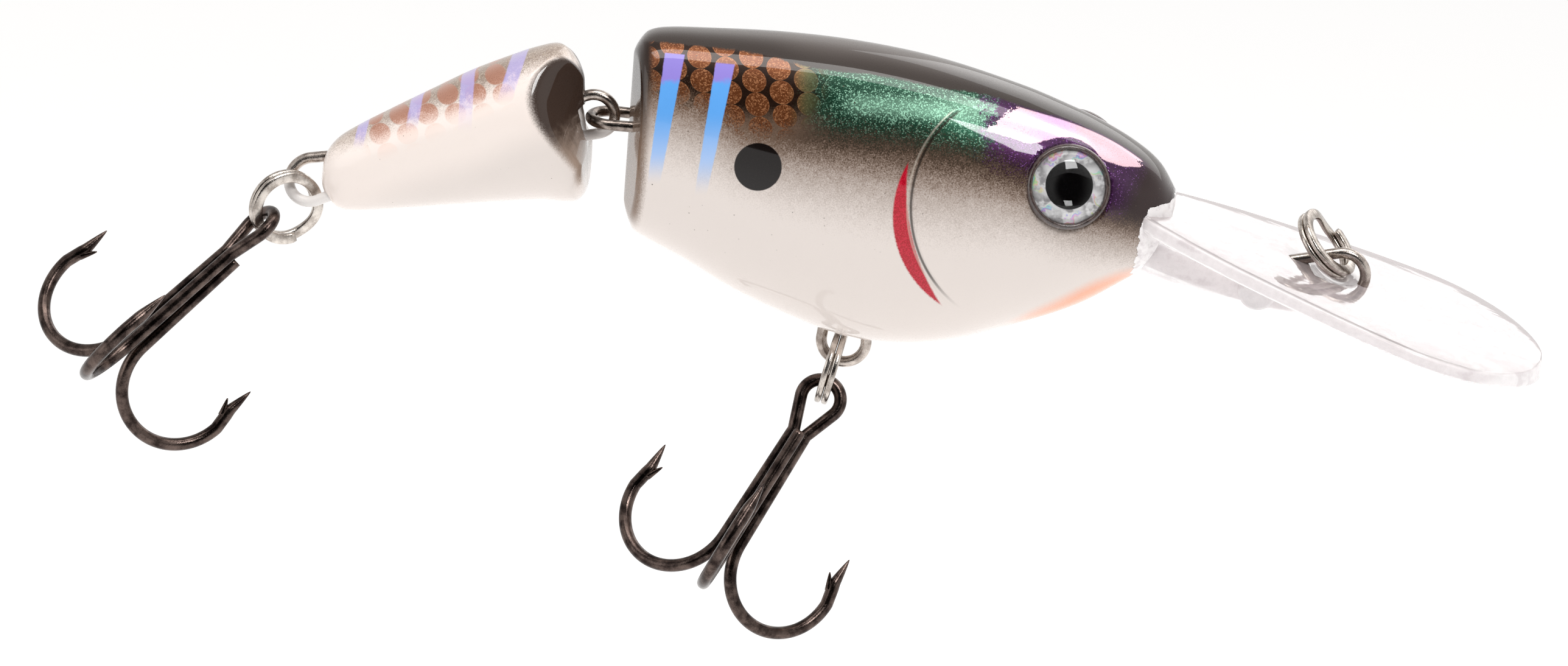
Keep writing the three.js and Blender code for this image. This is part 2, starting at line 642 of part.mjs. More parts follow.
placeRing('line_tie_ring', ringThrough(RING_LIE.tie, [-0.5, 1, 0.4]));
placeRing('belly_ring', ringThrough(RING_LIE.belly, [0, 1, -0.3]));

const hang = new THREE.Vector3(...RING_LIE.belly.towardsCentre).normalize();
const bellyPivot = new THREE.Vector3(...RING_LIE.belly.through)
  .addScaledVector(hang, RING.radius * (1 + Math.cos(BELLY_HOOK_DOWN)))
  .add(new THREE.Vector3(0, -RING.radius * Math.sin(BELLY_HOOK_DOWN), 0));
placeTreble('belly_treble', trebleStand(bellyPivot, HOOK_LIE.belly));

// The tail ring's plane is upright and turned; it crosses the tail eye's plane along one line.
const ringNormal = new THREE.Vector3(Math.sin(TAIL_RING_TURN), -Math.cos(TAIL_RING_TURN), 0);
const eyeNormal = new THREE.Vector3(0, -Math.cos(TAIL_EYE.twist), Math.sin(TAIL_EYE.twist))
  .applyAxisAngle(new THREE.Vector3(0, 1, 0), -TAIL_DROOP);
const crossing = new THREE.Vector3().crossVectors(eyeNormal, ringNormal).normalize();
const tailEye = inKeelPlane(TAIL_EYE.eye).applyAxisAngle(new THREE.Vector3(0, 1, 0), -TAIL_DROOP);
const tailRingCentre = tailEye.clone().addScaledVector(crossing, -TAIL_RING_HANG);
const level = new THREE.Vector3(Math.cos(TAIL_RING_TURN), Math.sin(TAIL_RING_TURN), 0);
const up = new THREE.Vector3(0, 0, 1);
const towardsHook = level.clone().multiplyScalar(-Math.cos(TAIL_HOOK_DOWN))
  .addScaledVector(up, -Math.sin(TAIL_HOOK_DOWN));
const tailPivot = tailRingCentre.clone().addScaledVector(towardsHook, RING.radius);
placeRing('tail_ring', ringStand(tailRingCentre, ringNormal, new THREE.Vector3(0.8, 0.3, -0.6)));
placeTreble('tail_treble', trebleStand(tailPivot, HOOK_LIE.tail));

export default lure;
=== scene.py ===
"""Looks of a jointed crankbait lure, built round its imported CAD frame.

Shapes are written in millimetres from the tail joint, as the CAD source is, and moved into the
row frame, whose origin is the centre of the line-tie loop.
"""
import math

import bpy
import numpy as np
from mathutils import Matrix, Vector


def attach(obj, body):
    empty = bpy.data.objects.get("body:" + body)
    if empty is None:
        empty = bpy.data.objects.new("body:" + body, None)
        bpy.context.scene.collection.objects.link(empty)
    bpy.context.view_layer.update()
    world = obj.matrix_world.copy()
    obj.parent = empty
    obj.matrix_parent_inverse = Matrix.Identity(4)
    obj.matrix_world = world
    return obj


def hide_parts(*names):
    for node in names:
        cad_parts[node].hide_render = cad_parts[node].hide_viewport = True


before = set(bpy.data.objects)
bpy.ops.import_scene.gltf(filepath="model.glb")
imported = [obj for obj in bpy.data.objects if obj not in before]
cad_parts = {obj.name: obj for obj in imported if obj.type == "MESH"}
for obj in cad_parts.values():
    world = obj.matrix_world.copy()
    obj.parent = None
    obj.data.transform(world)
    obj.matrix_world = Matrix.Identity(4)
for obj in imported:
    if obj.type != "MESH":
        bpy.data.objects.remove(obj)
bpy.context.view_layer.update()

MM = 0.001
TIE_AT = np.array((60.4, 0.0, -6.8))
DROOP = math.radians(20)
Z_AXIS = np.array((0.0, 0.0, 1.0))

# the camera's axes, which the paint's stencil shares
RIGHT = (0.9912, 0.1125, 0.0703)
UP = (-0.1042, 0.3332, 0.9371)
BACK = (0.0819, -0.9361, 0.3420)

# the eye that faces +Y, in the front body; the other is its mirror image
EYE_PLACE = (38.2, 5.72, 0.2)
EYE_NORMAL = (0.23, 0.92, 0.33)

# the front body ends on a shallow wedge; its ridge stands at the middle
FRONT_END, FRONT_WEDGE_DEPTH = 1.9, 1.6
FRONT_RIDGE_HALF, FRONT_END_HALF = 0.45, 4.75

# the tail starts on a leaning ridge, scooped back to both sides, more so higher up
TAIL_RIDGE, TAIL_RIDGE_LEAN, TAIL_RIDGE_HALF = 1.65, 0.264, 0.4
TAIL_SCOOP, TAIL_SCOOP_RISE = 0.337, 0.137

# the lip's plate: its slope, its outline and the round boss through its keel
LIP_SLOPE = 0.303
WIDEST, LIP_TIP, HALF_WIDEST, THICKNESS = 67, 77, 9.75, 1.7


def srgb(r, g, b):
    """A linear colour from 8-bit sRGB numbers."""
    def linear(v):
        v /= 255
        return v / 12.92 if v <= 0.04045 else ((v + 0.055) / 1.055) ** 2.4
    return (linear(r), linear(g), linear(b), 1.0)


# -------------------- shapes


def smooth(*points):
    """A smooth height over x through the given points."""
    xs, ys = np.array(points, float).T
    slopes = np.empty_like(ys)
    slopes[1:-1] = (ys[2:] - ys[:-2]) / (xs[2:] - xs[:-2])
    slopes[0] = (ys[1] - ys[0]) / (xs[1] - xs[0])
    slopes[-1] = (ys[-1] - ys[-2]) / (xs[-1] - xs[-2])

    def at(x):
        k = np.clip(np.searchsorted(xs, x), 1, len(xs) - 1)
        h = xs[k] - xs[k - 1]
        t = np.clip((x - xs[k - 1]) / h, 0, 1)
        ease = t * t * (3 - 2 * t)
        bend = slopes[k - 1] * t * (1 - t) ** 2 - slopes[k] * t * t * (1 - t)
        return ys[k - 1] + (ys[k] - ys[k - 1]) * ease + h * bend
    return at


def step(x, low, high):
    """0 at low and 1 at high, eased; low may be above high."""
    t = np.clip((x - low) / (high - low), 0, 1)
    return t * t * (3 - 2 * t)


def to_row(points, droop=False):
    """Millimetres from the tail joint to metres in the row frame; droop tips the tail down."""
    p = np.asarray(points, float)
    if droop:
        c, s = math.cos(DROOP), math.sin(DROOP)
        p = np.stack([c * p[:, 0] - s * p[:, 2], p[:, 1], s * p[:, 0] + c * p[:, 2]], axis=1)
    return (p - TIE_AT) * MM


def make(name, points, faces, material, body, nodes=(), droop=False):
    """A smooth-shaded mesh from points in millimetres, on its CAD body."""
    mesh = bpy.data.meshes.new(name)
    mesh.from_pydata(to_row(points, droop).tolist(), [], [tuple(int(i) for i in f) for f in faces])
    mesh.validate()
    mesh.polygons.foreach_set("use_smooth", [True] * len(mesh.polygons))
    mesh.update()
    piece = bpy.data.objects.new(name, mesh)
    bpy.context.scene.collection.objects.link(piece)
    piece.data.materials.append(material)
    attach(piece, body)
    if nodes:
        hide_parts(*nodes)
    return piece


def closed_grid(rows):
    """Points and faces of a closed skin from rings of equal length, capped at both ends."""
    rows = [np.asarray(r, float) for r in rows]
    n = len(rows[0])
    points = np.vstack(rows + [rows[0].mean(0), rows[-1].mean(0)])
    first, last = len(points) - 2, len(points) - 1
    pairs = [(j, (j + 1) % n) for j in range(n)]
    faces = [(i + j, i + k, i + n + k, i + n + j) for i in range(0, first - n, n) for j, k in pairs]
    for j, k in pairs:
        faces.append((k, j, first))
        faces.append((first - n + j, first - n + k, last))
    return points, faces


def merge(*parts):
    """One mesh from several (points, faces) pairs."""
    points, faces, count = [], [], 0
    for part_points, part_faces in parts:
        points.append(np.asarray(part_points, float))
        faces += [tuple(i + count for i in f) for f in part_faces]
        count += len(part_points)
    return np.vstack(points), faces


def unit(v):
    v = np.asarray(v, float)
    return v / np.linalg.norm(v)


def sweep(path, radius, sides=20):
    """Round wire along a path; radius is a number or one number for each point."""
    path = np.asarray(path, float)
    radii = np.broadcast_to(radius, (len(path),))
    tangents = np.gradient(path, axis=0)
    tangents /= np.linalg.norm(tangents, axis=1)[:, None]
    side = unit(np.cross(tangents[0], (0.31, 0.77, 0.56)))
    angles = np.linspace(0, 2 * math.pi, sides, endpoint=False)
    rows = []
    for point, tangent, r in zip(path, tangents, radii):
        side = unit(side - tangent * side.dot(tangent))
        other = np.cross(tangent, side)
        rows.append(point + r * (np.outer(np.cos(angles), side) + np.outer(np.sin(angles), other)))
    return closed_grid(rows)


def line(a, b, gap=0.3):
    """Evenly spaced points from a to b, at most about a gap apart."""
    a, b = np.asarray(a, float), np.asarray(b, float)
    count = max(2, int(np.linalg.norm(b - a) / gap))
    return a + np.linspace(0, 1, count)[:, None] * (b - a)


def arc(centre, across, along, radius, start, end):
    """Points on a circle, by angles counted from the across axis towards the along axis."""
    count = max(6, int(abs(end - start) * radius / 0.16))
    angles = np.linspace(start, end, count)[:, None]
    return (np.asarray(centre, float) + radius * np.cos(angles) * np.asarray(across, float)
            + radius * np.sin(angles) * np.asarray(along, float))


def chain(*parts):
    """One path from several; each part's first point is the last one's end."""
    points = [parts[0]]
    for part in parts[1:]:
        points.append(part[1:])
    return np.vstack(points)


def turned(profile, stand):
    """A lathe of (radius, height) corners round the stand's z axis."""
    angles = np.linspace(0, 2 * math.pi, 72, endpoint=False)
    circle = np.stack([np.cos(angles), np.sin(angles), 0 * angles], axis=1)
    points, faces = closed_grid([max(r, 1e-3) * circle + h * Z_AXIS for r, h in profile])
    return move(points, stand), faces


def move(points, stand):
    """Points carried from a stand's own axes to the body's."""
    return np.asarray(points) @ np.array(stand.to_3x3()).T + np.array(stand.translation)


def basis(x, y, z, at):
    """A stand: three axes and an origin as one matrix."""
    columns = Matrix((tuple(x), tuple(y), tuple(z))).transposed()
    return Matrix.Translation(Vector(tuple(at))) @ columns.to_4x4()


# -------------------- node arithmetic


class Value:
    """A node's output that takes part in sums."""

    def __init__(self, graph, socket):
        self.graph, self.socket = graph, socket

    def __add__(self, other):
        return self.graph.math("ADD", self, other)

    def __sub__(self, other):
        return self.graph.math("SUBTRACT", self, other)

    def __rsub__(self, other):
        return self.graph.math("SUBTRACT", other, self)

    def __mul__(self, other):
        return self.graph.math("MULTIPLY", self, other)

    def __truediv__(self, other):
        return self.graph.math("DIVIDE", self, other)

    __radd__, __rmul__ = __add__, __mul__

    def __abs__(self):
        return self.graph.math("ABSOLUTE", self)


class Graph:
    """A material under construction."""

    def __init__(self, name):
        self.material = bpy.data.materials.new(name)
        self.material.use_nodes = True
        self.tree = self.material.node_tree
        self.tree.nodes.clear()
        coordinates = self.tree.nodes.new("ShaderNodeTexCoord")
        scale = self.vector_math("MULTIPLY", coordinates.outputs["Object"], (1000, 1000, 1000))
        self.place = self.vector_math("ADD", scale, tuple(TIE_AT))
        split = self.tree.nodes.new("ShaderNodeSeparateXYZ")
        self.tree.links.new(self.place, split.inputs[0])
        self.x, self.y, self.z = (Value(self, o) for o in split.outputs)

    def put(self, socket, value):
        if isinstance(value, Value):
            value = value.socket
        if isinstance(value, bpy.types.NodeSocket):
            self.tree.links.new(value, socket)
        else:
            socket.default_value = value

    def math(self, operation, a, b=0.0, clamp=False):
        node = self.tree.nodes.new("ShaderNodeMath")
        node.operation, node.use_clamp = operation, clamp
        self.put(node.inputs[0], a)
        self.put(node.inputs[1], b)
        return Value(self, node.outputs[0])

    def vector_math(self, operation, a, b):
        node = self.tree.nodes.new("ShaderNodeVectorMath")
        node.operation = operation
        self.put(node.inputs[0], a)
        self.put(node.inputs[1], b)
        return node.outputs[0]

    def ramp(self, x, low, high):
        """0 at low and 1 at high, eased; low may be above high."""
        node = self.tree.nodes.new("ShaderNodeMapRange")
        node.interpolation_type = "SMOOTHSTEP"
        self.put(node.inputs["Value"], x)
        self.put(node.inputs["From Min"], low)
        self.put(node.inputs["From Max"], high)
        return Value(self, node.outputs["Result"])

    def curve(self, x, *points):
        """A height over x through a few points."""
        xs, ys = zip(*points)
        left, right, low, high = xs[0], xs[-1], min(ys) - 0.01, max(ys) + 0.01
        node = self.tree.nodes.new("ShaderNodeFloatCurve")
        bends = node.mapping.curves[0]
        places = [((px - left) / (right - left), (py - low) / (high - low)) for px, py in points]
        bends.points[0].location, bends.points[1].location = places[0], places[-1]
        for spot in places[1:-1]:
            bends.points.new(*spot)
        node.mapping.update()
        self.put(node.inputs["Value"], self.math("MULTIPLY", x - left, 1 / (right - left), clamp=True))
        return Value(self, node.outputs["Value"]) * (high - low) + low

    def mix(self, a, b, factor):
        node = self.tree.nodes.new("ShaderNodeMix")
        node.data_type = "RGBA"
        self.put(node.inputs[0], factor)
        self.put(node.inputs[6], a)
        self.put(node.inputs[7], b)
        return node.outputs[2]

    def noise(self, per_mm, detail=2.0, roughness=0.5):
        """Noise about zero, mostly within a quarter."""
        node = self.tree.nodes.new("ShaderNodeTexNoise")
        self.put(node.inputs["Vector"], self.place)
        node.inputs["Scale"].default_value = per_mm
        node.inputs["Detail"].default_value = detail
        node.inputs["Roughness"].default_value = roughness
        return Value(self, node.outputs["Fac"]) - 0.5

    def flakes(self, per_mm):
        """Little cells: a fixed number from 0 to 1 for each, and the distance from its middle."""
        node = self.tree.nodes.new("ShaderNodeTexVoronoi")
        self.put(node.inputs["Vector"], self.place)
        node.inputs["Scale"].default_value = per_mm
        split = self.tree.nodes.new("ShaderNodeSeparateColor")
        self.tree.links.new(node.outputs["Color"], split.inputs[0])
        return Value(self, split.outputs[0]), Value(self, node.outputs["Distance"])

    def far(self, a, b, at):
        """Distance of the point (a, b) from a place in the plane."""
        da, db = a - at[0], b - at[1]
        return self.math("SQRT", da * da + db * db)

    def bump(self, height, distance, strength=1.0, after=None):
        node = self.tree.nodes.new("ShaderNodeBump")
        node.inputs["Strength"].default_value = strength
        node.inputs["Distance"].default_value = distance
        self.put(node.inputs["Height"], height)
        if after is not None:
            self.tree.links.new(after, node.inputs["Normal"])
        return node.outputs["Normal"]

    def finish(self, shader):
        output = self.tree.nodes.new("ShaderNodeOutputMaterial")
        self.tree.links.new(shader, output.inputs["Surface"])
        return self.material

    def principled(self, **inputs):
        node = self.tree.nodes.new("ShaderNodeBsdfPrincipled")
        for name, value in inputs.items():
            self.put(node.inputs[name.replace("_", " ")], value)
        return node.outputs["BSDF"]

    def blend(self, first, second, factor):
        """One shader passing into another."""
        node = self.tree.nodes.new("ShaderNodeMixShader")
        self.put(node.inputs[0], factor)
        self.tree.links.new(first, node.inputs[1])
        self.tree.links.new(second, node.inputs[2])
        return node.outputs[0]


# -------------------- paint
# The fish is painted through a stencil that is held beside it, a little above its middle and
# turned a few degrees: s runs towards the nose and t upwards, in millimetres from the joint. Both
# flanks use the same stencil, mirrored.


def stencil(g):
    flank = abs(g.y)
    s = g.x * RIGHT[0] - flank * RIGHT[1] + g.z * RIGHT[2]
    t = g.x * UP[0] - flank * UP[1] + g.z * UP[2]
    return s, t


PEARL = srgb(235, 225, 219)
# pearl as lit from above: a painted highlight colour
LIT_PEARL = srgb(252, 240, 233)


def hexagons(g, s, t, start, pitch, lean):
    """Distance from the nearest middle of a field of offset columns of scales."""
    u = (s - start[0] + (t - start[1]) * lean) / pitch[0]
    column = g.math("ROUND", u)
    odd = g.math("PINGPONG", column, 1.0)
    v = (t - start[1] - odd * (pitch[1] / 2)) / pitch[1]
    du = (u - column) * pitch[0]
    dv = (v - g.math("ROUND", v)) * pitch[1]
    return g.math("SQRT", du * du + dv * dv)


def front_paint():
    g = Graph("front_paint")
    s, t = stencil(g)
    grain = g.noise(9.0, 1.0)
    blotch = g.noise(1.6, 3.0, 0.6)
    sparkle, _ = g.flakes(11.0)

    # the back's edge, and the lower and upper ends of the brown mist over the pearl
    back_line = g.curve(s, (0, 6.3), (8, 5.6), (13, 4.85), (16.5, 3.9), (22, 3.2), (27.8, 2.1),
                        (29.8, 1.85), (33.5, 0.8), (38.6, -0.83), (43, -3.3), (47, -7.2))
    mist_low = g.curve(s, (0, -3.5), (8, -6.2), (12, -8.0), (20, -10.2), (27, -11.4), (33, -11.6),
                       (38, -12.6), (43, -13.2), (47, -14.2))
    mist_high = g.curve(s, (0, 3.4), (8, 1.2), (12, -0.9), (20, -2.0), (27, -3.0), (33, -4.6),
                        (38, -7.2), (43, -8.9), (47, -10.2))
    mist = (t - mist_low) / (mist_high - mist_low) + grain * 0.5 + blotch * 0.2

    # colours of the upper flank: copper scales, green, purple
    green_in = g.ramp(s + blotch * 2.5 + grain * 2, 15.2, 18.8)
    purple_in = g.ramp(s + blotch * 5 + grain * 3, 29.8, 31.6)
    tan = g.mix(srgb(140, 114, 96), srgb(44, 28, 20), g.ramp(t + grain, -1.2, 1.0))
    glint = g.ramp(sparkle, 0.55, 1.0)
    # painted highlight: a pale mint band along the green, where the light above is reflected
    strip = g.ramp(abs(t + s * 0.06 - 2.1), 1.7, 0.1) * g.ramp(s, 17.5, 21) * 0.6
    green = g.mix(srgb(30, 70, 53), srgb(160, 212, 184), g.ramp(strip + glint * 0.7, 0.05, 1.25))
    green = g.mix(green, srgb(62, 74, 60), g.ramp(t - mist_high, 1.4, -0.6))
    purple = g.mix(srgb(66, 34, 70), srgb(146, 96, 166), g.ramp(sparkle + grain, 0.84, 1.15))
    purple = g.mix(purple, srgb(50, 34, 34), g.ramp(s - t * 0.5, 44.2, 46.2))
    band = g.mix(g.mix(tan, green, green_in), purple, purple_in)
    scales = hexagons(g, s, t, (12.0, 2.85), (2.08, 1.93), 0.13)
    scales_low = g.curve(s, (0, 2.0), (6, 0.8), (8, -0.4), (11, -1.6), (14, -1.4), (16, -0.2),
                         (18, 1.6))
    scale_in = g.ramp(t + grain - scales_low, -1.0, 0.9) * g.ramp(s, 18.2, 15.8) * g.ramp(s, 3.4, 4.2)
    copper = g.mix(srgb(120, 68, 38), srgb(190, 132, 92), glint * 0.8)
    copper = g.mix(copper, srgb(96, 98, 66), g.ramp(s, 14.5, 16.6))
    copper = g.mix(copper, srgb(188, 128, 88), g.ramp(scales, 0.86, 1.0) * 0.35)
    band = g.mix(band, copper, g.ramp(scales, 0.99, 0.93) * scale_in)

    # pearl below, through the mist, to those colours; a few dark specks
    colour = g.mix(PEARL, srgb(124, 100, 82), g.ramp(mist, 0.0, 1.05))
    colour = g.mix(colour, srgb(66, 52, 45), g.ramp(mist, 0.6, 1.2) * g.ramp(s, 8, 17))
    band_from = g.ramp(s, 12, 18) * 0.12 + 0.78
    colour = g.mix(colour, band, g.ramp(mist - band_from, 0.0, 0.4))
    speck, reach = g.flakes(1.9)
    specks = g.ramp(speck, 0.80, 0.82) * g.ramp(reach + speck * 0.12, 0.26, 0.18) * g.ramp(t, -13, -5)
    colour = g.mix(colour, srgb(92, 78, 68), specks * 0.75)

    # orange throat, red gill mark, black spot
    throat = g.curve(s, (29, -18.6), (33, -16.1), (36.3, -14.5), (39.6, -12.9), (42.4, -12.0),
                     (45, -11.6))
    orange_in = g.ramp(t - throat + grain * 0.25, 0.2, -1.0) * g.ramp(s, 29.5, 35)
    colour = g.mix(colour, srgb(249, 176, 142), orange_in)
    outside = g.far(s, t, (31.38, -8.1)) + grain * 0.12
    inside = g.far(s, t, (40.93, -5.85)) + grain * 0.12
    red_in = g.ramp(outside, 8.36, 8.18) * g.ramp(inside, 16.63, 16.83)
    red = g.mix(srgb(176, 10, 34), srgb(206, 32, 58), g.ramp(grain, -0.1, 0.15))
    colour = g.mix(colour, red, red_in)
    spot_in = g.ramp(g.far(s, t, (12.3, -4.08)), 1.96, 1.86)
    colour = g.mix(colour, srgb(16, 8, 6), spot_in)

    # two blue bars over the scales
    bars = None
    for middle, lean, top, fade_from, fade_to in (
            (4.80, 0.166, 5.0, -2.8, -5.6), (8.88, 0.19, 4.6, -3.2, -6.5)):
        off = abs(s - (t * lean + middle) + blotch * 0.1)
        width = t * 0.028 + 0.66
        bar = g.ramp(off - width, 0.06, -0.06) * g.ramp(t + s * 0.1, top + 0.65, top + 0.5)
        bar = bar * g.ramp(t, fade_to, fade_from)
        bars = bar if bars is None else g.math("MAXIMUM", bars, bar)
    bar_colour = g.mix(srgb(100, 172, 246), srgb(154, 138, 224), g.ramp(t + blotch, 2.5, 3.1))
    bar_colour = g.mix(srgb(178, 206, 248), bar_colour, g.ramp(t, -4.5, 0.5))
    colour = g.mix(colour, bar_colour, bars)

    # the gill cover's line, dark with a pale edge: painted shade in its groove and a painted highlight
    # along the groove's edge
    gill = g.far(s, t, (34.45, -7.45)) - 9.9
    along = g.ramp(t, -15.6, -12.5) * g.ramp(t, 0.7, 0.1) * g.ramp(s, 31, 29)
    colour = g.mix(colour, srgb(46, 38, 32), g.ramp(abs(gill), 0.17, 0.03) * along * 0.85)
    colour = g.mix(colour, srgb(214, 204, 190), g.ramp(abs(gill - 0.3), 0.14, 0.02) * along * 0.4)

    # a pale pink painted reflection of the light above, over the head; and the masked dark back, with a
    # painted sheen towards its top
    reflection_low = g.curve(s, (30.4, -1.1), (32.5, -1.75), (34.4, -2.2), (35.4, -1.95), (37, -1.74),
                        (38.8, -2.3), (40.4, -3.7), (42.6, -4.1), (43.4, -3.8))
    ragged = blotch * 1.6 + grain * 0.6
    left_end = s - (t * 1.28 + 32.1) + ragged * 1.5
    right_end = 43.0 - s + ragged
    reflection_in = (g.ramp(t - reflection_low + ragged * 0.18, -0.05, 0.08) * g.ramp(back_line - t, 0.08, 0.22)
                * g.ramp(left_end, 0.0, 0.12) * g.ramp(right_end, 0.0, 0.12))
    # the painted reflection's colour, palest at its middle
    painted_reflection = g.mix(srgb(255, 214, 226), srgb(250, 205, 246),
                  g.ramp(g.far(s, t, (36, -0.6)) + blotch, 2.6, 0.6))
    colour = g.mix(colour, painted_reflection, reflection_in)
    # the back's dark paint lightens towards its top: a painted sheen of the light above
    back = g.mix(srgb(62, 54, 50), srgb(96, 88, 84), g.ramp(t - back_line, 0.3, 2.6))
    back_in = g.ramp(t - back_line + blotch * 0.35 + grain * 0.2, -0.12, 0.12)
    colour = g.mix(colour, back, back_in)

    # the rear wedge, by how far a place is ahead of it
    beside = g.math("MAXIMUM", abs(g.y) - FRONT_RIDGE_HALF, 0.0)
    ahead = g.x - (beside * (FRONT_WEDGE_DEPTH / FRONT_END_HALF) + FRONT_END)
    end_in = g.ramp(ahead + grain * 0.5, 0.9, 0.1)
    end_colour = g.mix(srgb(134, 112, 96), srgb(46, 34, 28), g.ramp(g.z, -1.5, 4.5))
    end_colour = g.mix(PEARL, end_colour, g.ramp(g.z + grain, -9.2, -6.2))
    colour = g.mix(colour, end_colour, end_in)

    # metallic paint, less of it under the head's painted reflection; the lip's clear collar shows past the
    # paint's torn edge at the nose
    shine = (g.ramp(mist, 0.7, 1.1) * 0.55 * (1.0 - back_in) * (1.0 - bars)
             * (1.0 - reflection_in * 0.4) * (1.0 - end_in))
    collar_edge = g.curve(t, (-14, 41.9), (-12.8, 42.2), (-11.8, 42.6), (-10.5, 42.7), (-8.9, 43.0),
                          (-7.7, 43.5), (-7.15, 44.5), (-6.8, 45.5), (-5.4, 46.1), (-4, 47))
    collar = g.ramp(s - collar_edge + blotch * 1.1, 0.0, 0.06)
    roughness = g.ramp(sparkle, 0, 1) * 0.16 + 0.26
    peel = g.bump(g.noise(1.1, 2.0), 0.00002, 0.5)
    groove = g.bump(g.ramp(abs(gill), 0.3, 0.0) * along * -1.0, 0.00012, 0.8, after=peel)
    step_down = g.bump(collar * -1.0, 0.0002, 1.0, after=groove)
    painted = g.principled(Base_Color=colour, Metallic=shine, Roughness=roughness, Normal=step_down,
                           Specular_IOR_Level=0.06, Coat_Weight=1.0, Coat_Roughness=0.04,
                           Coat_IOR=1.45)
    clear_colour = g.mix(srgb(226, 219, 220), srgb(252, 248, 248), g.ramp(blotch, -0.2, 0.1))
    clear = g.principled(Base_Color=clear_colour, Roughness=0.12,
                         Normal=g.bump(blotch, 0.00006, 1.0), Coat_Weight=1.0)
    return g.finish(g.blend(painted, clear, collar))


def tail_paint():
    g = Graph("tail_paint")
    s, t = stencil(g)
    grain = g.noise(9.0, 1.0)
    blotch = g.noise(1.6, 3.0, 0.6)
    sparkle, _ = g.flakes(11.0)

    # the tail's own axes, before it droops
    level, tipped = math.cos(DROOP), math.sin(DROOP)
    behind = g.x * -level - g.z * tipped
    height = g.z * level - g.x * tipped

    low = g.curve(s, (-26, -5.6), (-22, -3.8), (-20, -3.0), (-15.6, -1.2), (-10.3, 0.5),
                  (-6.5, 2.3), (-4, 3.1), (0, 3.6))
    brown_in = (t - low) * 0.4 + grain * 0.7 + blotch * 0.4
    # the pearl lightens upwards into lit pearl: painted light from above
    colour = g.mix(PEARL, LIT_PEARL, g.ramp(t - low, -6, -2.5))
    brown = g.mix(srgb(148, 124, 106), srgb(196, 178, 160), g.ramp(sparkle, 0.4, 1.0))
    colour = g.mix(colour, brown, g.ramp(brown_in, 0.1, 1.2))

    # copper dots in rows along the tail's slope
    turn = math.radians(22)
    p = s * math.cos(turn) + t * math.sin(turn)
    q = t * math.cos(turn) - s * math.sin(turn)
    dots = hexagons(g, p, q, (-11.1, 6.5), (2.1, 1.75), 0.0)
    dot_in = (g.ramp(dots + grain * 0.1, 0.95, 0.8) * g.ramp(p, -19.5, -17.5)
              * g.ramp(p, -5.2, -6.4) * g.ramp(q, 3.2, 5.4))
    dot_colour = g.mix(srgb(252, 224, 212), srgb(186, 128, 104), g.ramp(brown_in, -0.1, 0.7))
    colour = g.mix(colour, dot_colour, dot_in * 0.9)

    # four lilac bars
    bars = None
    for place, level, lean, half, fade_from, fade_to in (
            (-7.0, 4.9, 0.3, 0.60, 3.0, 0.9), (-11.1, 3.45, 0.05, 0.55, 1.6, -1.5),
            (-15.25, 1.7, 0.15, 0.48, 0.5, -1.2), (-19.6, -0.27, 0.2, 0.42, -1.2, -2.7)):
        off = abs(s - place - (t - level) * lean + blotch * 0.1)
        bar = g.ramp(off, half + 0.07, half - 0.07) * g.ramp(t, fade_to, fade_from)
        bars = bar if bars is None else g.math("MAXIMUM", bars, bar)
    lilac = g.mix(srgb(238, 220, 240), srgb(182, 172, 228), g.ramp(brown_in + blotch, -0.1, 0.8))
    colour = g.mix(colour, lilac, bars * 0.8)

    # the scooped face, by how far a place is behind it
    scoop = g.math("MAXIMUM", height * TAIL_SCOOP_RISE + TAIL_SCOOP, 0.0)
    beside = g.math("MAXIMUM", abs(g.y) - TAIL_RIDGE_HALF, 0.0)
    ahead = behind - (beside * scoop + TAIL_RIDGE - height * TAIL_RIDGE_LEAN)
    end_in = g.ramp(ahead + grain * 0.3, 0.8, 0.15)
    end_colour = g.mix(srgb(168, 148, 134), srgb(60, 46, 39), g.ramp(height + blotch * 2, -2.2, 1.8))
    # lower down the face fades into the flank's lit pearl, painted light from above
    end_colour = g.mix(LIT_PEARL, end_colour, g.ramp(height + grain * 1.4, -4.6, -2.9))
    colour = g.mix(colour, end_colour, end_in)
    speck, reach = g.flakes(1.7)
    specks = g.ramp(speck, 0.86, 0.88) * g.ramp(reach + speck * 0.12, 0.22, 0.15)
    colour = g.mix(colour, srgb(120, 104, 90), specks * 0.6)
    peel = g.bump(g.noise(1.1, 2.0), 0.00002, 0.5)
    seam = g.bump(g.ramp(abs(g.y) + blotch * 0.3, 0.3, 0.1) * end_in, 0.0003, 1.0, after=peel)
    shine = g.ramp(brown_in, 0.3, 0.9) * 0.4 * (1.0 - bars) * (1.0 - end_in)
    return g.finish(g.principled(
        Base_Color=colour, Metallic=shine, Roughness=g.ramp(sparkle, 0, 1) * 0.16 + 0.26, Normal=seam,
        Specular_IOR_Level=0.06, Coat_Weight=1.0, Coat_Roughness=0.05, Coat_IOR=1.45))


# -------------------- other materials


def metal(name, dark, light, roughness, painted_below=None):
    """Drawn and plated wire; painted_below coats it white under a height."""
    g = Graph(name)
    cloud = g.noise(0.9, 3.0, 0.6)
    grain = g.noise(14.0, 2.0)
    colour = g.mix(dark, light, g.ramp(cloud + grain * 0.3, -0.2, 0.22))
    metallic = 1.0
    rough = g.ramp(cloud + grain, -0.4, 0.4) * 0.14 + roughness
    if painted_below is not None:
        coated = g.ramp(g.z + cloud * 1.6, painted_below + 0.25, painted_below - 0.25)
        colour = g.mix(colour, srgb(238, 233, 230), coated)
        metallic = 1.0 - coated
    return g.finish(g.principled(Base_Color=colour, Metallic=metallic, Roughness=rough,
                                 Normal=g.bump(grain + cloud, 0.00003, 0.35)))


def glaze(name):
    """A clear drop of resin: mostly see-through, with a hard gloss."""
    g = Graph(name)
    ripple = g.bump(g.noise(0.5, 2.0), 0.00003, 0.5)
    return g.finish(g.principled(Base_Color=srgb(12, 12, 14), Roughness=0.03, IOR=2.9, Alpha=0.13,
                                 Normal=ripple))


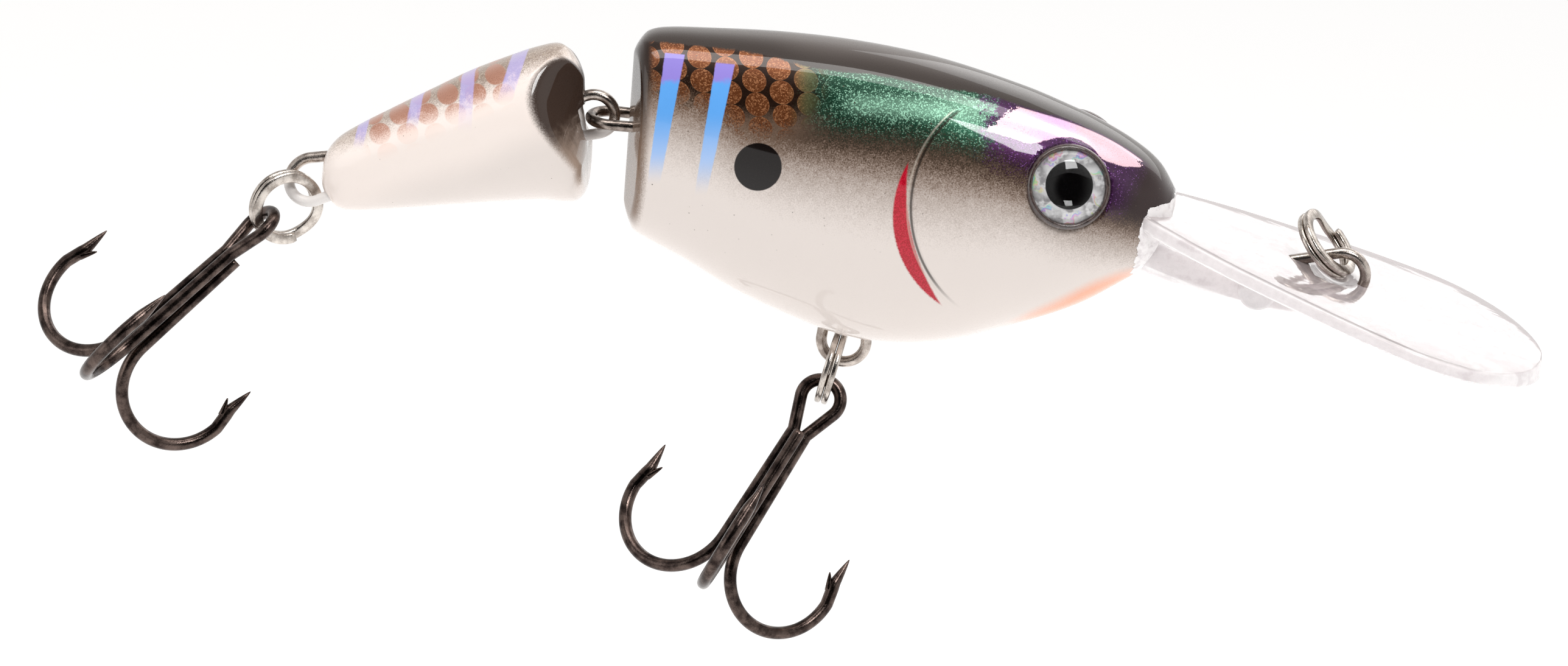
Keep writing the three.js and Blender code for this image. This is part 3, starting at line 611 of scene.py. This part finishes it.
def clear_plastic(name, haze):
    """Moulded clear plastic: flow lines and milkiness, with painted shade on the lip's top, which leaves it
    darker than its paler rim and underneath.
    """
    g = Graph(name)
    flow = g.tree.nodes.new("ShaderNodeTexNoise")
    g.put(flow.inputs["Vector"], g.vector_math("MULTIPLY", g.place, (0.06, 0.45, 0.3)))
    flow.inputs["Scale"].default_value = 1.0
    flow.inputs["Detail"].default_value = 3.0
    streak = Value(g, flow.outputs["Fac"]) - 0.5
    normal = g.bump(streak, 0.0002, 0.25)
    scratch = g.noise(1.2, 4.0, 0.65)
    half = g.curve(g.x, (40.5, 3), (45.5, 4.7), (50.7, 6.7), (55.8, 8), (62, 9.2),
                   (WIDEST, HALF_WIDEST), (70.5, 9.15), (73, 7.8), (75, 5.85), (76.3, 3.6),
                   (LIP_TIP, 0.4))
    rim = g.ramp(half - abs(g.y), 0.5, 0.1)
    under = g.ramp(10.4 - g.x * LIP_SLOPE - g.z, -0.2, 0.6)
    # painted shade: the lip's top is darker than its rim and underside, which stay pale
    tint_and_shade = g.mix(srgb(178, 168, 169), srgb(253, 248, 249), g.math("MAXIMUM", rim, under))
    tint_and_shade = g.mix(tint_and_shade, srgb(196, 184, 188), g.ramp(streak + scratch * 0.5, 0.02, 0.16) * 0.45)
    clear = g.principled(Base_Color=srgb(226, 215, 216), IOR=1.49, Transmission_Weight=1.0,
                         Roughness=g.ramp(scratch, -0.3, 0.4) * 0.05 + 0.02, Normal=normal)
    milk = g.principled(Base_Color=tint_and_shade, Roughness=0.3, Normal=normal, Specular_IOR_Level=0.1,
                        Coat_Weight=0.4)
    milkiness = g.ramp(scratch + streak, -0.4, 0.4) * 0.2 + rim * 0.1 + haze
    return g.finish(g.blend(clear, milk, milkiness))


def eye_foil_paint(name, side):
    """Holographic foil ring with a black pupil, by distance from the eye's own axis."""
    g = Graph(name)
    right, up, _ = eye_axes(side)

    def along(direction):
        x, y, z = (float(v) for v in direction)
        return g.x * x + g.y * y + g.z * z - float(np.dot(direction, eye_centre(side)))
    a, b = along(right), along(up)
    radius = g.math("SQRT", a * a + b * b)
    angle = g.math("ARCTAN2", b, a)
    wobble = g.noise(1.4, 2.0)
    pupil = g.ramp(g.far(a, b, (0.05, 0.12)), 1.98, 1.90)
    hue = g.tree.nodes.new("ShaderNodeHueSaturation")
    hue.inputs["Color"].default_value = srgb(255, 90, 60)
    g.put(hue.inputs["Hue"], angle * 1.4 + radius * 0.9 + wobble * 2.5)
    streak = g.math("SINE", angle * 7.0 + radius * 2.0 + wobble * 9.0)
    vivid = g.ramp(streak + wobble, 0.62, 1.0) * g.ramp(radius, 1.9, 2.3)
    grey = g.mix(srgb(176, 174, 176), srgb(254, 254, 255), g.ramp(streak * 0.4 + wobble * 3, -0.7, 0.2))
    foil = g.mix(grey, hue.outputs["Color"], vivid * 0.5)
    colour = g.mix(foil, srgb(4, 3, 3), pupil)
    return g.finish(g.principled(Base_Color=colour, Roughness=0.4, Specular_IOR_Level=0.0,
                                 Normal=g.bump(streak, 0.00006, 0.6)))


def plain(name, low, high, roughness, metallic=0.0):
    """A cloudy surface between two colours."""
    g = Graph(name)
    cloud = g.noise(3.0, 3.0, 0.6)
    return g.finish(g.principled(
        Base_Color=g.mix(low, high, g.ramp(cloud, -0.25, 0.25)), Metallic=metallic,
        Roughness=g.ramp(cloud, -0.3, 0.3) * 0.1 + roughness,
        Normal=g.bump(cloud, 0.00003, 0.4), Coat_Weight=0.6))


# -------------------- camera, light, floor

CAMERA_AT = (0.0421, -0.9918, 0.3523)

camera_data = bpy.data.cameras.new("camera")
camera_data.lens = 300
camera_data.sensor_width = 36
camera_data.clip_start = 0.1
camera = bpy.data.objects.new("camera", camera_data)
camera.matrix_world = basis(RIGHT, UP, BACK, CAMERA_AT)
bpy.context.scene.collection.objects.link(camera)
bpy.context.scene.camera = camera
bpy.context.scene.view_settings.view_transform = "Standard"


MIDDLE = (-0.045, 0.0, -0.008)


def area_light(name, at, size, power, colour=(1, 1, 1)):
    """A softbox turned to the middle of the lure."""
    data = bpy.data.lights.new(name, "AREA")
    data.shape = "RECTANGLE"
    data.size, data.size_y = size
    data.energy = power
    data.color = colour
    light = bpy.data.objects.new(name, data)
    light.location = at
    light.rotation_euler = (Vector(at) - Vector(MIDDLE)).to_track_quat("Z", "Y").to_euler()
    bpy.context.scene.collection.objects.link(light)


area_light("softbox_above", (-0.03, -0.04, 0.62), (0.75, 0.20), 2.1, (1.0, 0.985, 0.965))
area_light("softbox_front", (0.24, -0.50, 0.62), (0.20, 0.24), 2.4)
area_light("softbox_side", (-0.75, -0.45, 0.20), (0.5, 0.5), 0.7)
area_light("softbox_rear", (0.25, 0.6, 0.35), (0.6, 0.4), 0.8)

world = bpy.data.worlds.new("studio")
bpy.context.scene.world = world
world.use_nodes = True
nodes, links = world.node_tree.nodes, world.node_tree.links
direction = nodes.new("ShaderNodeTexCoord")


def world_step(towards, low, high, dark, bright):
    """Brightness over how far a direction turns towards a fixed one."""
    dot = nodes.new("ShaderNodeVectorMath")
    dot.operation = "DOT_PRODUCT"
    links.new(direction.outputs["Generated"], dot.inputs[0])
    dot.inputs[1].default_value = towards
    eased = nodes.new("ShaderNodeMapRange")
    eased.interpolation_type = "SMOOTHSTEP"
    links.new(dot.outputs["Value"], eased.inputs["Value"])
    for name, value in (("From Min", low), ("From Max", high), ("To Min", dark), ("To Max", bright)):
        eased.inputs[name].default_value = value
    return eased.outputs["Result"]


# white walls all round, except for the dark of the room where the photographer stands
both = nodes.new("ShaderNodeMath")
both.operation = "MULTIPLY"
links.new(world_step(BACK, 0.62, 0.9, 1.0, 0.02), both.inputs[0])
links.new(world_step((0, 0, 1), 0.25, 0.9, 0.85, 0.5), both.inputs[1])
links.new(both.outputs[0], nodes["Background"].inputs["Strength"])
nodes["Background"].inputs["Color"].default_value = (1.0, 0.985, 0.97, 1)

FLOOR_Z, FLOOR_REACH = -0.26, 4.0
floor_mesh = bpy.data.meshes.new("floor")
floor_mesh.from_pydata([(x * FLOOR_REACH, y * FLOOR_REACH, FLOOR_Z)
                        for x, y in ((-1, -1), (1, -1), (1, 1), (-1, 1))], [], [(0, 1, 2, 3)])
floor = bpy.data.objects.new("floor", floor_mesh)
bpy.context.scene.collection.objects.link(floor)
floor_look = bpy.data.materials.new("floor")
floor_look.use_nodes = True
floor_shader = floor_look.node_tree.nodes["Principled BSDF"]
floor_shader.inputs["Base Color"].default_value = (0.93, 0.93, 0.93, 1)
floor_shader.inputs["Roughness"].default_value = 0.9
floor_shader.inputs["Emission Color"].default_value = (1, 1, 1, 1)
floor_shader.inputs["Emission Strength"].default_value = 0.35
floor.data.materials.append(floor_look)

# -------------------- bodies

BODY_POWER = 2.3
SIDES = 224
FULL_TURN = np.linspace(0, 2 * math.pi, SIDES, endpoint=False)


def eye_centre(side):
    return np.array((EYE_PLACE[0], side * EYE_PLACE[1], EYE_PLACE[2]))


def eye_axes(side):
    z = unit((EYE_NORMAL[0], side * EYE_NORMAL[1], EYE_NORMAL[2]))
    x = unit(np.cross((0, 0, 1), z))
    return x, np.cross(z, x), z


def eye_stand(side):
    x, y, z = eye_axes(side)
    return basis(x, y, z, eye_centre(side))


def squared(v, power=BODY_POWER):
    """A sine or cosine made fuller, so that a circle becomes a rounder box."""
    return np.sign(v) * np.abs(v) ** (2 / power)


def body_skin(profile, end_at, far, rim, rows, centre, direction):
    """Rings of a body that starts on a face at end_at(y, z), turns over a rim and runs to far.

    The face's rings shrink to the centre (y, z); direction is the way the body runs along X.
    """
    top, bottom, half = profile

    def surface(a, angle):
        y = half(a) * squared(np.cos(angle))
        z = (top(a) + bottom(a)) / 2 + (top(a) - bottom(a)) / 2 * squared(np.sin(angle))
        return np.stack([a, y, z], axis=-1)
    # where the face and the side meet, by halving the gap
    start = np.full(SIDES, 3.0)
    for _ in range(60):
        corner = surface(start, FULL_TURN)
        start = 0.5 * start + 0.5 * end_at(corner[:, 1], corner[:, 2])
    corner = surface(start, FULL_TURN)
    heart = np.array((0, *centre))

    def face(share):
        p = heart + (corner - heart) * share[:, None]
        p[:, 0] = end_at(p[:, 1], p[:, 2])
        return p
    spokes = np.linalg.norm((corner - heart)[:, 1:], axis=1)
    rim_share = 1 - rim / spokes
    rings = [face(rim_share * k) for k in np.linspace(0.02, 1, 40)]
    inner, outer = rings[-1], surface(start + rim, FULL_TURN)
    for k in np.linspace(0, 1, 9)[1:-1]:
        rings.append((1 - k) ** 2 * inner + 2 * k * (1 - k) * corner + k ** 2 * outer)
    for k in np.linspace(0, 1, rows):
        rings.append(surface(start + rim + (far - start - rim) * k, FULL_TURN))
    return [r * np.array((direction, 1, 1)) for r in rings]


FRONT_TOP = smooth((1.9, 6.3), (2.3, 6.9), (2.9, 7.55), (4.2, 7.95), (7.3, 8.2), (13.7, 8.5), (20, 8.35),
                   (26.4, 7.6), (33.5, 5.95), (37.4, 4.7), (39.6, 3.9), (42.9, 2.3), (45, 0.75),
                   (46.4, -1.3))
FRONT_BOTTOM = smooth((1.9, -6.9), (2.3, -7.7), (2.9, -8.9), (4.2, -9.65), (7.3, -11), (11.4, -13.05),
                      (16, -14.75), (20, -15.9), (22.5, -16.2), (26.4, -16), (30, -15.2), (33.5, -13.85),
                      (37.4, -12.25), (40, -10.9), (42.9, -8.9), (45, -7.4), (46.4, -5.9))
FRONT_HALF = smooth((1.9, 4.7), (4.6, 5.3), (8, 5.95), (12, 6.55), (18, 7.2), (24, 7.5), (28, 7.5),
                    (33, 7.05), (37, 6.4), (41, 5.4), (44, 4.1), (45.6, 3), (46.4, 2))


def front_wedge(y, z):
    beside = (np.abs(y) - FRONT_RIDGE_HALF) / FRONT_END_HALF
    return FRONT_END + FRONT_WEDGE_DEPTH * (beside + np.sqrt(beside * beside + 0.004)) / 2


SOCKET_RADIUS, SOCKET_FLOOR = 3.3, -1.0


def carve(p):
    """Sinks a flat-floored socket for each eye into the front skin."""
    for side in (-1, 1):
        x, y, z = eye_axes(side)
        offset = p - eye_centre(side)
        radius = np.hypot(offset @ x, offset @ y)
        height = offset @ z
        drop = np.where(radius < SOCKET_RADIUS, SOCKET_FLOOR - height, 0)
        share = step(radius, SOCKET_RADIUS + 0.2, SOCKET_RADIUS - 0.05) * (p[:, 1] * side > 0)
        p = p + np.outer(share * drop, z)
    return p


NOSE, TAIL_END = 46.4, 23.9
front_rings = body_skin((FRONT_TOP, FRONT_BOTTOM, FRONT_HALF), front_wedge, NOSE, 0.55, 190,
                        (0, -0.8), 1)
points, faces = closed_grid([carve(r) for r in front_rings])
make("front_skin", points, faces, front_paint(), "front_body",
     ("front_shell_right", "front_shell_left"))

TAIL_TOP = smooth((0.55, 4.4), (1.1, 5.85), (2.2, 6.75), (3.8, 6.9), (6.5, 6.68), (9.9, 6.25), (13.3, 5.55),
                  (16.8, 4.8), (20.2, 4), (22, 3.35), (23.2, 2.3), (23.9, 0.8))
TAIL_BOTTOM = smooth((0.55, -3.4), (1.6, -4.6), (2.8, -5.5), (3.4, -5.95), (4.7, -5.85), (6.5, -5.25),
                     (9.9, -4.6), (13.3, -4.05), (16.8, -3.5), (20.2, -2.95), (22, -2.6),
                     (23.2, -2.1), (23.9, -1))
TAIL_HALF = smooth((0.55, 4.3), (4, 5.2), (8, 4.9), (13, 4.1), (18, 3.3), (22, 2.5), (23.4, 1.7),
                   (23.9, 1))


def tail_wedge(y, z):
    beside = np.abs(y) - TAIL_RIDGE_HALF
    scoop = np.maximum(TAIL_SCOOP + TAIL_SCOOP_RISE * z, 0)
    flat = TAIL_RIDGE - TAIL_RIDGE_LEAN * z + scoop * (beside + np.sqrt(beside * beside + 0.08)) / 2
    # the hollow for the front's joint eye
    hollow = np.sqrt(np.maximum(2.6 ** 2 - y ** 2, 0)) - 0.517
    inside = step(np.abs(z - 0.1), 1.5, 1.2) * step(np.abs(y), 2.4, 2.0)
    return flat + inside * np.maximum(hollow - flat, 0)


tail_rings = body_skin((TAIL_TOP, TAIL_BOTTOM, TAIL_HALF), tail_wedge, TAIL_END, 0.9, 110,
                       (0, 0.4), -1)
points, faces = closed_grid(tail_rings)
make("tail_skin", points, [f[::-1] for f in faces], tail_paint(), "tail",
     ("tail_shell_right", "tail_shell_left"), droop=True)

# -------------------- eyes

# profiles are (radius, height) from the eye's centre, outwards from the head
BEZEL = [(2.98, -0.7), (2.98, -0.2), (3.03, -0.02), (3.12, 0.06), (3.22, 0.06), (3.34, -0.06),
         (3.44, -0.28), (3.5, -0.6)]
FOIL = [(0.4, -0.7), (2.98, -0.7), (2.98, -0.34), (2.9, -0.3), (1.5, -0.3), (0.0, -0.3)]
DOME = [(0.5, -0.25), (2.97, -0.25)] + [
    (2.97 * math.cos(a), -0.13 + 0.95 * math.sin(a)) for a in np.linspace(0, math.pi / 2, 20)]
bezel_look = plain("eye_bezel", srgb(44, 34, 32), srgb(88, 72, 68), 0.12)
lens_look = glaze("eye_dome")
for name, side in (("right", -1), ("left", 1)):
    foil_look = eye_foil_paint(f"eye_foil_{name}", side)
    for part, profile, look, slot, nodes_replaced in (
            ("bezel", BEZEL, bezel_look, "painted_shell", ()),
            ("foil", FOIL, foil_look, "eye_foil", (f"eye_disc_{name}",)),
            ("dome", DOME, lens_look, "eye_lens", (f"eye_lens_{name}",))):
        points, faces = turned(profile, eye_stand(side))
        make(f"eye_{part}_{name}", points, faces, look, "front_body", nodes_replaced)

# -------------------- wire hangers

WIRE = 0.45
TWIST = math.radians(35)
BUTT = 0.12
TAIL_EYE = (-24.9, 0.64)
nickel = metal("hanger_wire", srgb(140, 128, 120), srgb(214, 204, 196), 0.14)
tail_nickel = metal("tail_wire", srgb(120, 106, 98), srgb(206, 196, 188), 0.16, painted_below=-8.1)
joint_nickel = metal("joint_wire", srgb(120, 106, 98), srgb(206, 196, 188), 0.16, painted_below=-0.9)
dark_nickel = metal("joint_front_wire", srgb(92, 82, 76), srgb(168, 156, 148), 0.12)


def hanger(eye, eye_radius, seat, seat_radius, side):
    """A long loop of wire: an eye, two legs, and a buried seat where its ends meet."""
    eye, seat, side = (np.asarray(v, float) for v in (eye, seat, side))
    out = unit(eye - seat)
    lean = math.asin((eye_radius - seat_radius) / np.linalg.norm(eye - seat))
    half = math.pi / 2 + lean

    def leg(sign, centre, radius):
        return centre - out * radius * math.sin(lean) + side * sign * radius * math.cos(lean)
    return chain(
        arc(seat, out, side, seat_radius, math.pi + BUTT, 2 * math.pi - half),
        line(leg(-1, seat, seat_radius), leg(-1, eye, eye_radius)),
        arc(eye, out, side, eye_radius, -half, half),
        line(leg(1, eye, eye_radius), leg(1, seat, seat_radius)),
        arc(seat, out, side, seat_radius, half, math.pi - BUTT))


def keel_hanger(eye, eye_radius, seat, seat_radius, twist=0.0):
    """A hanger in the fish's middle plane, from (x, z) places; twist turns it about its length."""
    eye, seat = np.array((eye[0], 0, eye[1])), np.array((seat[0], 0, seat[1]))
    out = unit(eye - seat)
    side = Matrix.Rotation(twist, 3, Vector(out)) @ Vector(np.cross(out, (0, 1, 0)))
    return hanger(eye, eye_radius, seat, seat_radius, tuple(side))


def wire_piece(name, path, look, body, node, droop=False):
    points, faces = sweep(path, WIRE, 24)
    make(name, points, faces, look, body, (node,), droop)


wire_piece("line_tie_wire", keel_hanger((60.4, -6.8), 1.83, (53.8, -8), 1.25), nickel,
           "front_body", "line_tie_hanger")
wire_piece("belly_wire", keel_hanger((20.6, -16.9), 1.83, (20.6, -11.3), 1.25), nickel,
           "front_body", "belly_hanger")
wire_piece("joint_front_wire", hanger((0.55, 0, 0), 1.75, (8.4, 0, 0), 1.25, (0, 1, 0)),
           dark_nickel, "front_body", "joint_hanger_front")
wire_piece("joint_tail_wire", keel_hanger((-0.81, 0.5), 1.66, (-8, 0.5), 1.15), joint_nickel,
           "tail", "joint_hanger_tail", True)
wire_piece("tail_wire", keel_hanger(TAIL_EYE, 1.85, (-18.6, 0.6), 1, TWIST), tail_nickel,
           "tail", "tail_hanger", True)

# -------------------- split rings

RING_RADIUS, RING_WIRE, RING_PITCH = 2.65, 0.45, 0.58
RING_START, RING_TURN = 36, 360 * 1.8
ring_look = metal("split_ring", srgb(150, 140, 132), srgb(226, 218, 210), 0.12)


def split_ring():
    """Flattened wire in nearly two turns that lie side by side, with a jog and cut ends."""
    degrees = np.linspace(RING_START, RING_START + RING_TURN, 260)
    jog = step(degrees, 330, 390)
    around = np.linspace(0, 2 * math.pi, 20, endpoint=False)
    from_end = np.minimum(degrees - RING_START, RING_START + RING_TURN - degrees)
    taper = np.minimum(1, 0.55 + from_end / 12)
    rows = []
    for a, lift, share in zip(np.radians(degrees), RING_PITCH * (jog - 0.5), taper):
        radial = RING_RADIUS + RING_WIRE * squared(np.cos(around), 3.2) * (0.75 + 0.25 * share)
        axial = lift + 0.27 * squared(np.sin(around), 3.2) * share
        rows.append(np.stack([radial * math.cos(a), radial * math.sin(a), axial], axis=1))
    return closed_grid(rows)


def ring_stand(centre, normal, ends_towards):
    """Where a ring lies; ends_towards is roughly the way to its cut ends."""
    z = unit(normal)
    y = unit(np.cross(z, ends_towards))
    return basis(np.cross(y, z), y, z, centre)


def ring_piece(name, body, node, stand):
    points, faces = split_ring()
    make(name, move(points, stand), faces, ring_look, body, (node,))


def ring_through(through, towards_centre, normal, ends):
    """A stand for a ring whose wire passes through a place."""
    return ring_stand(np.array(through) + RING_RADIUS * unit(towards_centre), normal, ends)


ring_piece("tie_split_ring", "line_tie_ring", "line_tie_ring",
           ring_through((60.6, 0, -6.5), (-0.654, 0.166, 0.738), (0.726, -0.139, 0.674), (-0.5, 1, 0.4)))
BELLY_THROUGH, BELLY_HANG = (20.3, 0, -16.7), (-0.208, 0, -0.978)
ring_piece("belly_split_ring", "belly_ring", "belly_ring",
           ring_through(BELLY_THROUGH, BELLY_HANG, (0.978, 0, -0.208), (0, 1, -0.3)))

# -------------------- treble hooks

HOOK_WIRE = 0.525
BUNDLE = 0.64
EYE_RADIUS = 1.62
NECK = 3.2
BEND_START, BEND_INNER, BEND_OUTER = 13.4, 0.85, 10.6
TIP, POINT, BARB_BACK = (10.2, 9.35), 2.3, 2.1
EYE_SLACK = 0.15
hook_look = metal("hook_wire", srgb(44, 36, 34), srgb(104, 90, 84), 0.12)
# a treble's own axes: its eye is at the origin and its shanks run along +Z


def hook_side(azimuth):
    return np.array((math.cos(azimuth), math.sin(azimuth), 0.0))


def hook_place(outward, r, s):
    return np.array((0, BUNDLE / 2, s)) + np.asarray(outward) * r


def hook_leg(outward):
    """From the tip of the point, round the bend and along the shank to the neck."""
    radius = (BEND_OUTER - BEND_INNER) / 2
    centre = hook_place(outward, BEND_INNER + radius, BEND_START)
    return chain(
        line(hook_place(outward, *TIP), hook_place(outward, TIP[0], TIP[1] + POINT), 0.12),
        line(hook_place(outward, TIP[0], TIP[1] + POINT), hook_place(outward, BEND_OUTER, BEND_START)),
        arc(centre, outward, Z_AXIS, radius, 0, math.pi),
        line(hook_place(outward, BEND_INNER, BEND_START), hook_place(outward, BUNDLE, NECK)))


def wire_radii(path, *tips):
    """Full wire, drawn down to a needle at each tip."""
    radii = np.full(len(path), HOOK_WIRE)
    for tip in tips:
        run = np.linalg.norm(path - tip, axis=1)
        radii = np.minimum(radii, 0.03 + HOOK_WIRE * np.clip(run / (POINT + 0.4), 0, 1) ** 0.8)
    return radii


def barb(outward):
    """A small spur cut up from the inside of the point."""
    base = hook_place(outward, TIP[0] - 0.15, TIP[1] + BARB_BACK + 0.9)
    top = hook_place(outward, TIP[0] - 0.92, TIP[1] + BARB_BACK - 0.35)
    path = line(base, top, 0.12)
    share = np.linspace(1, 0, len(path))
    return sweep(path, 0.05 + 0.27 * share ** 0.8, 14)


def double_hook():
    """One wire bent into two hooks and the eye between them."""
    right, left = hook_side(-math.pi / 6), hook_side(-5 * math.pi / 6)
    neck = hook_place(right, BUNDLE, NECK)
    middle = np.array((0, neck[1], 0))
    touch = math.atan2(neck[2], neck[0]) - math.acos(EYE_RADIUS / math.hypot(neck[0], neck[2]))

    def on_eye(sign):
        return np.array((sign * EYE_RADIUS * math.cos(touch), neck[1], EYE_RADIUS * math.sin(touch)))
    path = chain(
        hook_leg(right), line(neck, on_eye(1)),
        arc(middle, (1, 0, 0), Z_AXIS, EYE_RADIUS, touch, -math.pi - touch),
        line(on_eye(-1), (-neck[0], neck[1], neck[2])), hook_leg(left)[::-1])
    tips = [hook_place(side, *TIP) for side in (right, left)]
    return merge(sweep(path, wire_radii(path, *tips), 20), barb(right), barb(left))


def single_hook():
    """The third hook, with the braze that fills the gap between the shanks."""
    outward = hook_side(math.pi / 2)
    path = hook_leg(outward)
    braze = line((0, BUNDLE / 2, NECK + 1.2), (0, BUNDLE / 2, BEND_START - 1.6))
    return merge(sweep(path, wire_radii(path, hook_place(outward, *TIP)), 20), barb(outward),
                 sweep(braze, 0.42, 14))


def treble_stand(through, shank, single):
    """Where a treble hangs: the ring's wire in its eye, its shank's way and its single hook's."""
    z = unit(shank)
    y = unit(np.asarray(single) - z * np.dot(single, z))
    return basis(np.cross(y, z), y, z, np.asarray(through) + EYE_SLACK * z)


def treble(name, stand):
    for part, shape in (("double", double_hook()), ("single", single_hook())):
        make(f"{name}_{part}_wire", move(shape[0], stand), shape[1], hook_look, name,
             (f"{name}_{part}",))


belly_down = math.radians(26.5)
belly_pivot = (np.array(BELLY_THROUGH) + RING_RADIUS * (1 + math.cos(belly_down)) * unit(BELLY_HANG)
               - np.array((0, RING_RADIUS * math.sin(belly_down), 0)))
treble("belly_treble", treble_stand(belly_pivot, (-0.428, -0.447, -0.786), (0.108, -0.888, 0.446)))

# the tail ring stands upright in the drooped tail's eye, turned 30 degrees to the camera's side
turn = math.radians(30)
ring_normal = np.array((math.sin(turn), -math.cos(turn), 0))
droop_turn = np.array(Matrix.Rotation(-DROOP, 3, "Y"))
eye_normal = droop_turn @ np.array((0, -math.cos(TWIST), math.sin(TWIST)))
crossing = unit(np.cross(eye_normal, ring_normal))
tail_ring_centre = droop_turn @ np.array((TAIL_EYE[0], 0, TAIL_EYE[1])) - 3 * crossing
level = np.array((math.cos(turn), math.sin(turn), 0))
below = math.radians(32)
towards_hook = -math.cos(below) * level - math.sin(below) * Z_AXIS
ring_piece("tail_split_ring", "tail_ring", "tail_ring",
           ring_stand(tail_ring_centre, ring_normal, (0.8, 0.3, -0.6)))
treble("tail_treble", treble_stand(tail_ring_centre + RING_RADIUS * towards_hook,
                                   (-0.667, -0.339, -0.664), (0.62, 0.241, -0.747)))

# -------------------- diving lip

lip_look = clear_plastic("clear_lip", 0.6)
boss_look = clear_plastic("clear_boss", 0.75)
LIP_HALF = smooth((40.5, 3), (43.5, 3.6), (45.5, 4.7), (50.7, 6.7), (55.8, 8), (62, 9.2), (67, 9.75))
KEEL_BOTTOM = smooth((40.5, -6.2), (43.75, -7.6), (50, -9.5), (55, -10.3), (58, -10.3), (61.5, -9.3))
KEEL_HALF = smooth((40.5, 2.2), (44, 2.8), (54, 2.7), (58, 2), (61.5, 0.8))
# a round scoop in the top makes room for the line-tie ring: (x, z) and radius
SCOOP_X, SCOOP_Z, SCOOP_RADIUS = 60.7, -4, 3.6


def lip_middle(x):
    return -3.5 - LIP_SLOPE * (x - 46)


def plate_half(x):
    """Half the plate's width: a widening strip that ends in half an ellipse."""
    if x <= WIDEST:
        return float(LIP_HALF(x))
    return HALF_WIDEST * math.sqrt(max(1 - ((x - WIDEST) / (LIP_TIP - WIDEST)) ** 2, 1e-4))


def lip_section(x):
    """The outline across the lip: over the top, then back under it round the keel."""
    half, middle = plate_half(x), lip_middle(x)
    thick = THICKNESS / 2 * min(1, (half / 1.2) ** 0.5)
    keel_share = float(step(x, 62.5, 59.5))
    keel = float(KEEL_HALF(x)) * keel_share + 1e-3
    depth = max(middle - thick - float(KEEL_BOTTOM(x)), 0) * keel_share
    around = np.linspace(0, math.pi, 49)
    y_top = half * np.cos(around)
    edge = np.abs(y_top / half)
    z_top = middle + thick * (1 - edge ** 5) ** 0.2
    wing = np.linspace(0, math.pi / 2, 25)
    keel_turn = np.linspace(0, math.pi, 41)
    y_left = -half + (half - keel) * (1 - np.cos(wing))
    y_keel = -keel * np.cos(keel_turn)
    y_low = np.concatenate([y_left, y_keel[1:-1], -y_left[::-1]])
    drop = np.zeros_like(y_low)
    inside = np.abs(y_low) < keel
    drop[inside] = depth * (1 - np.abs(y_low[inside] / keel) ** 4) ** 0.25
    z_low = middle - thick * (1 - np.abs(y_low / half) ** 5) ** 0.2 - drop
    ys = np.concatenate([y_top, y_low[1:-1]])
    zs = np.concatenate([z_top, z_low[1:-1]])
    scoop = SCOOP_RADIUS ** 2 - (x - SCOOP_X) ** 2 - ys ** 2
    deep = np.where(scoop > 0, SCOOP_Z - np.sqrt(np.maximum(scoop, 0)), 99)
    top_side = np.arange(len(ys)) < len(y_top)
    zs = np.where(top_side & (deep < zs), np.maximum(deep, middle - thick * 0.6), zs)
    return np.stack([np.full(len(ys), x), ys, zs], axis=1)


stations = np.concatenate([np.linspace(40.5, WIDEST, 96)[:-1],
                           WIDEST + (LIP_TIP - WIDEST) * np.sin(np.linspace(0, math.pi / 2, 40))])
points, faces = closed_grid([lip_section(x) for x in stations])
make("diving_lip_blade", points, [f[::-1] for f in faces], lip_look, "front_body",
     ("diving_lip",))
BOSS = [(0.1, -3.1), (1.3, -3.1), (1.55, -2.95), (1.6, -2.7), (1.6, 2.7), (1.55, 2.95), (1.3, 3.1),
        (0.1, 3.1)]
points, faces = turned(BOSS, basis((1, 0, 0), (0, 0, -1), (0, 1, 0), (53.8, 0, -8)))
make("lip_boss", points, faces, boss_look, "front_body")

# -------------------- hidden pieces

lead = plain("ballast", srgb(92, 94, 98), srgb(140, 142, 146), 0.45, metallic=0.8)
steel = metal("rattle", srgb(150, 152, 156), srgb(226, 228, 232), 0.08)
for node, look in (("ballast_weight", lead), ("rattle_ball_rear", steel),
                   ("rattle_ball_front", steel)):
    piece = bpy.data.objects.get(node)
    if piece is not None:
        piece.data.materials.clear()
        piece.data.materials.append(look)
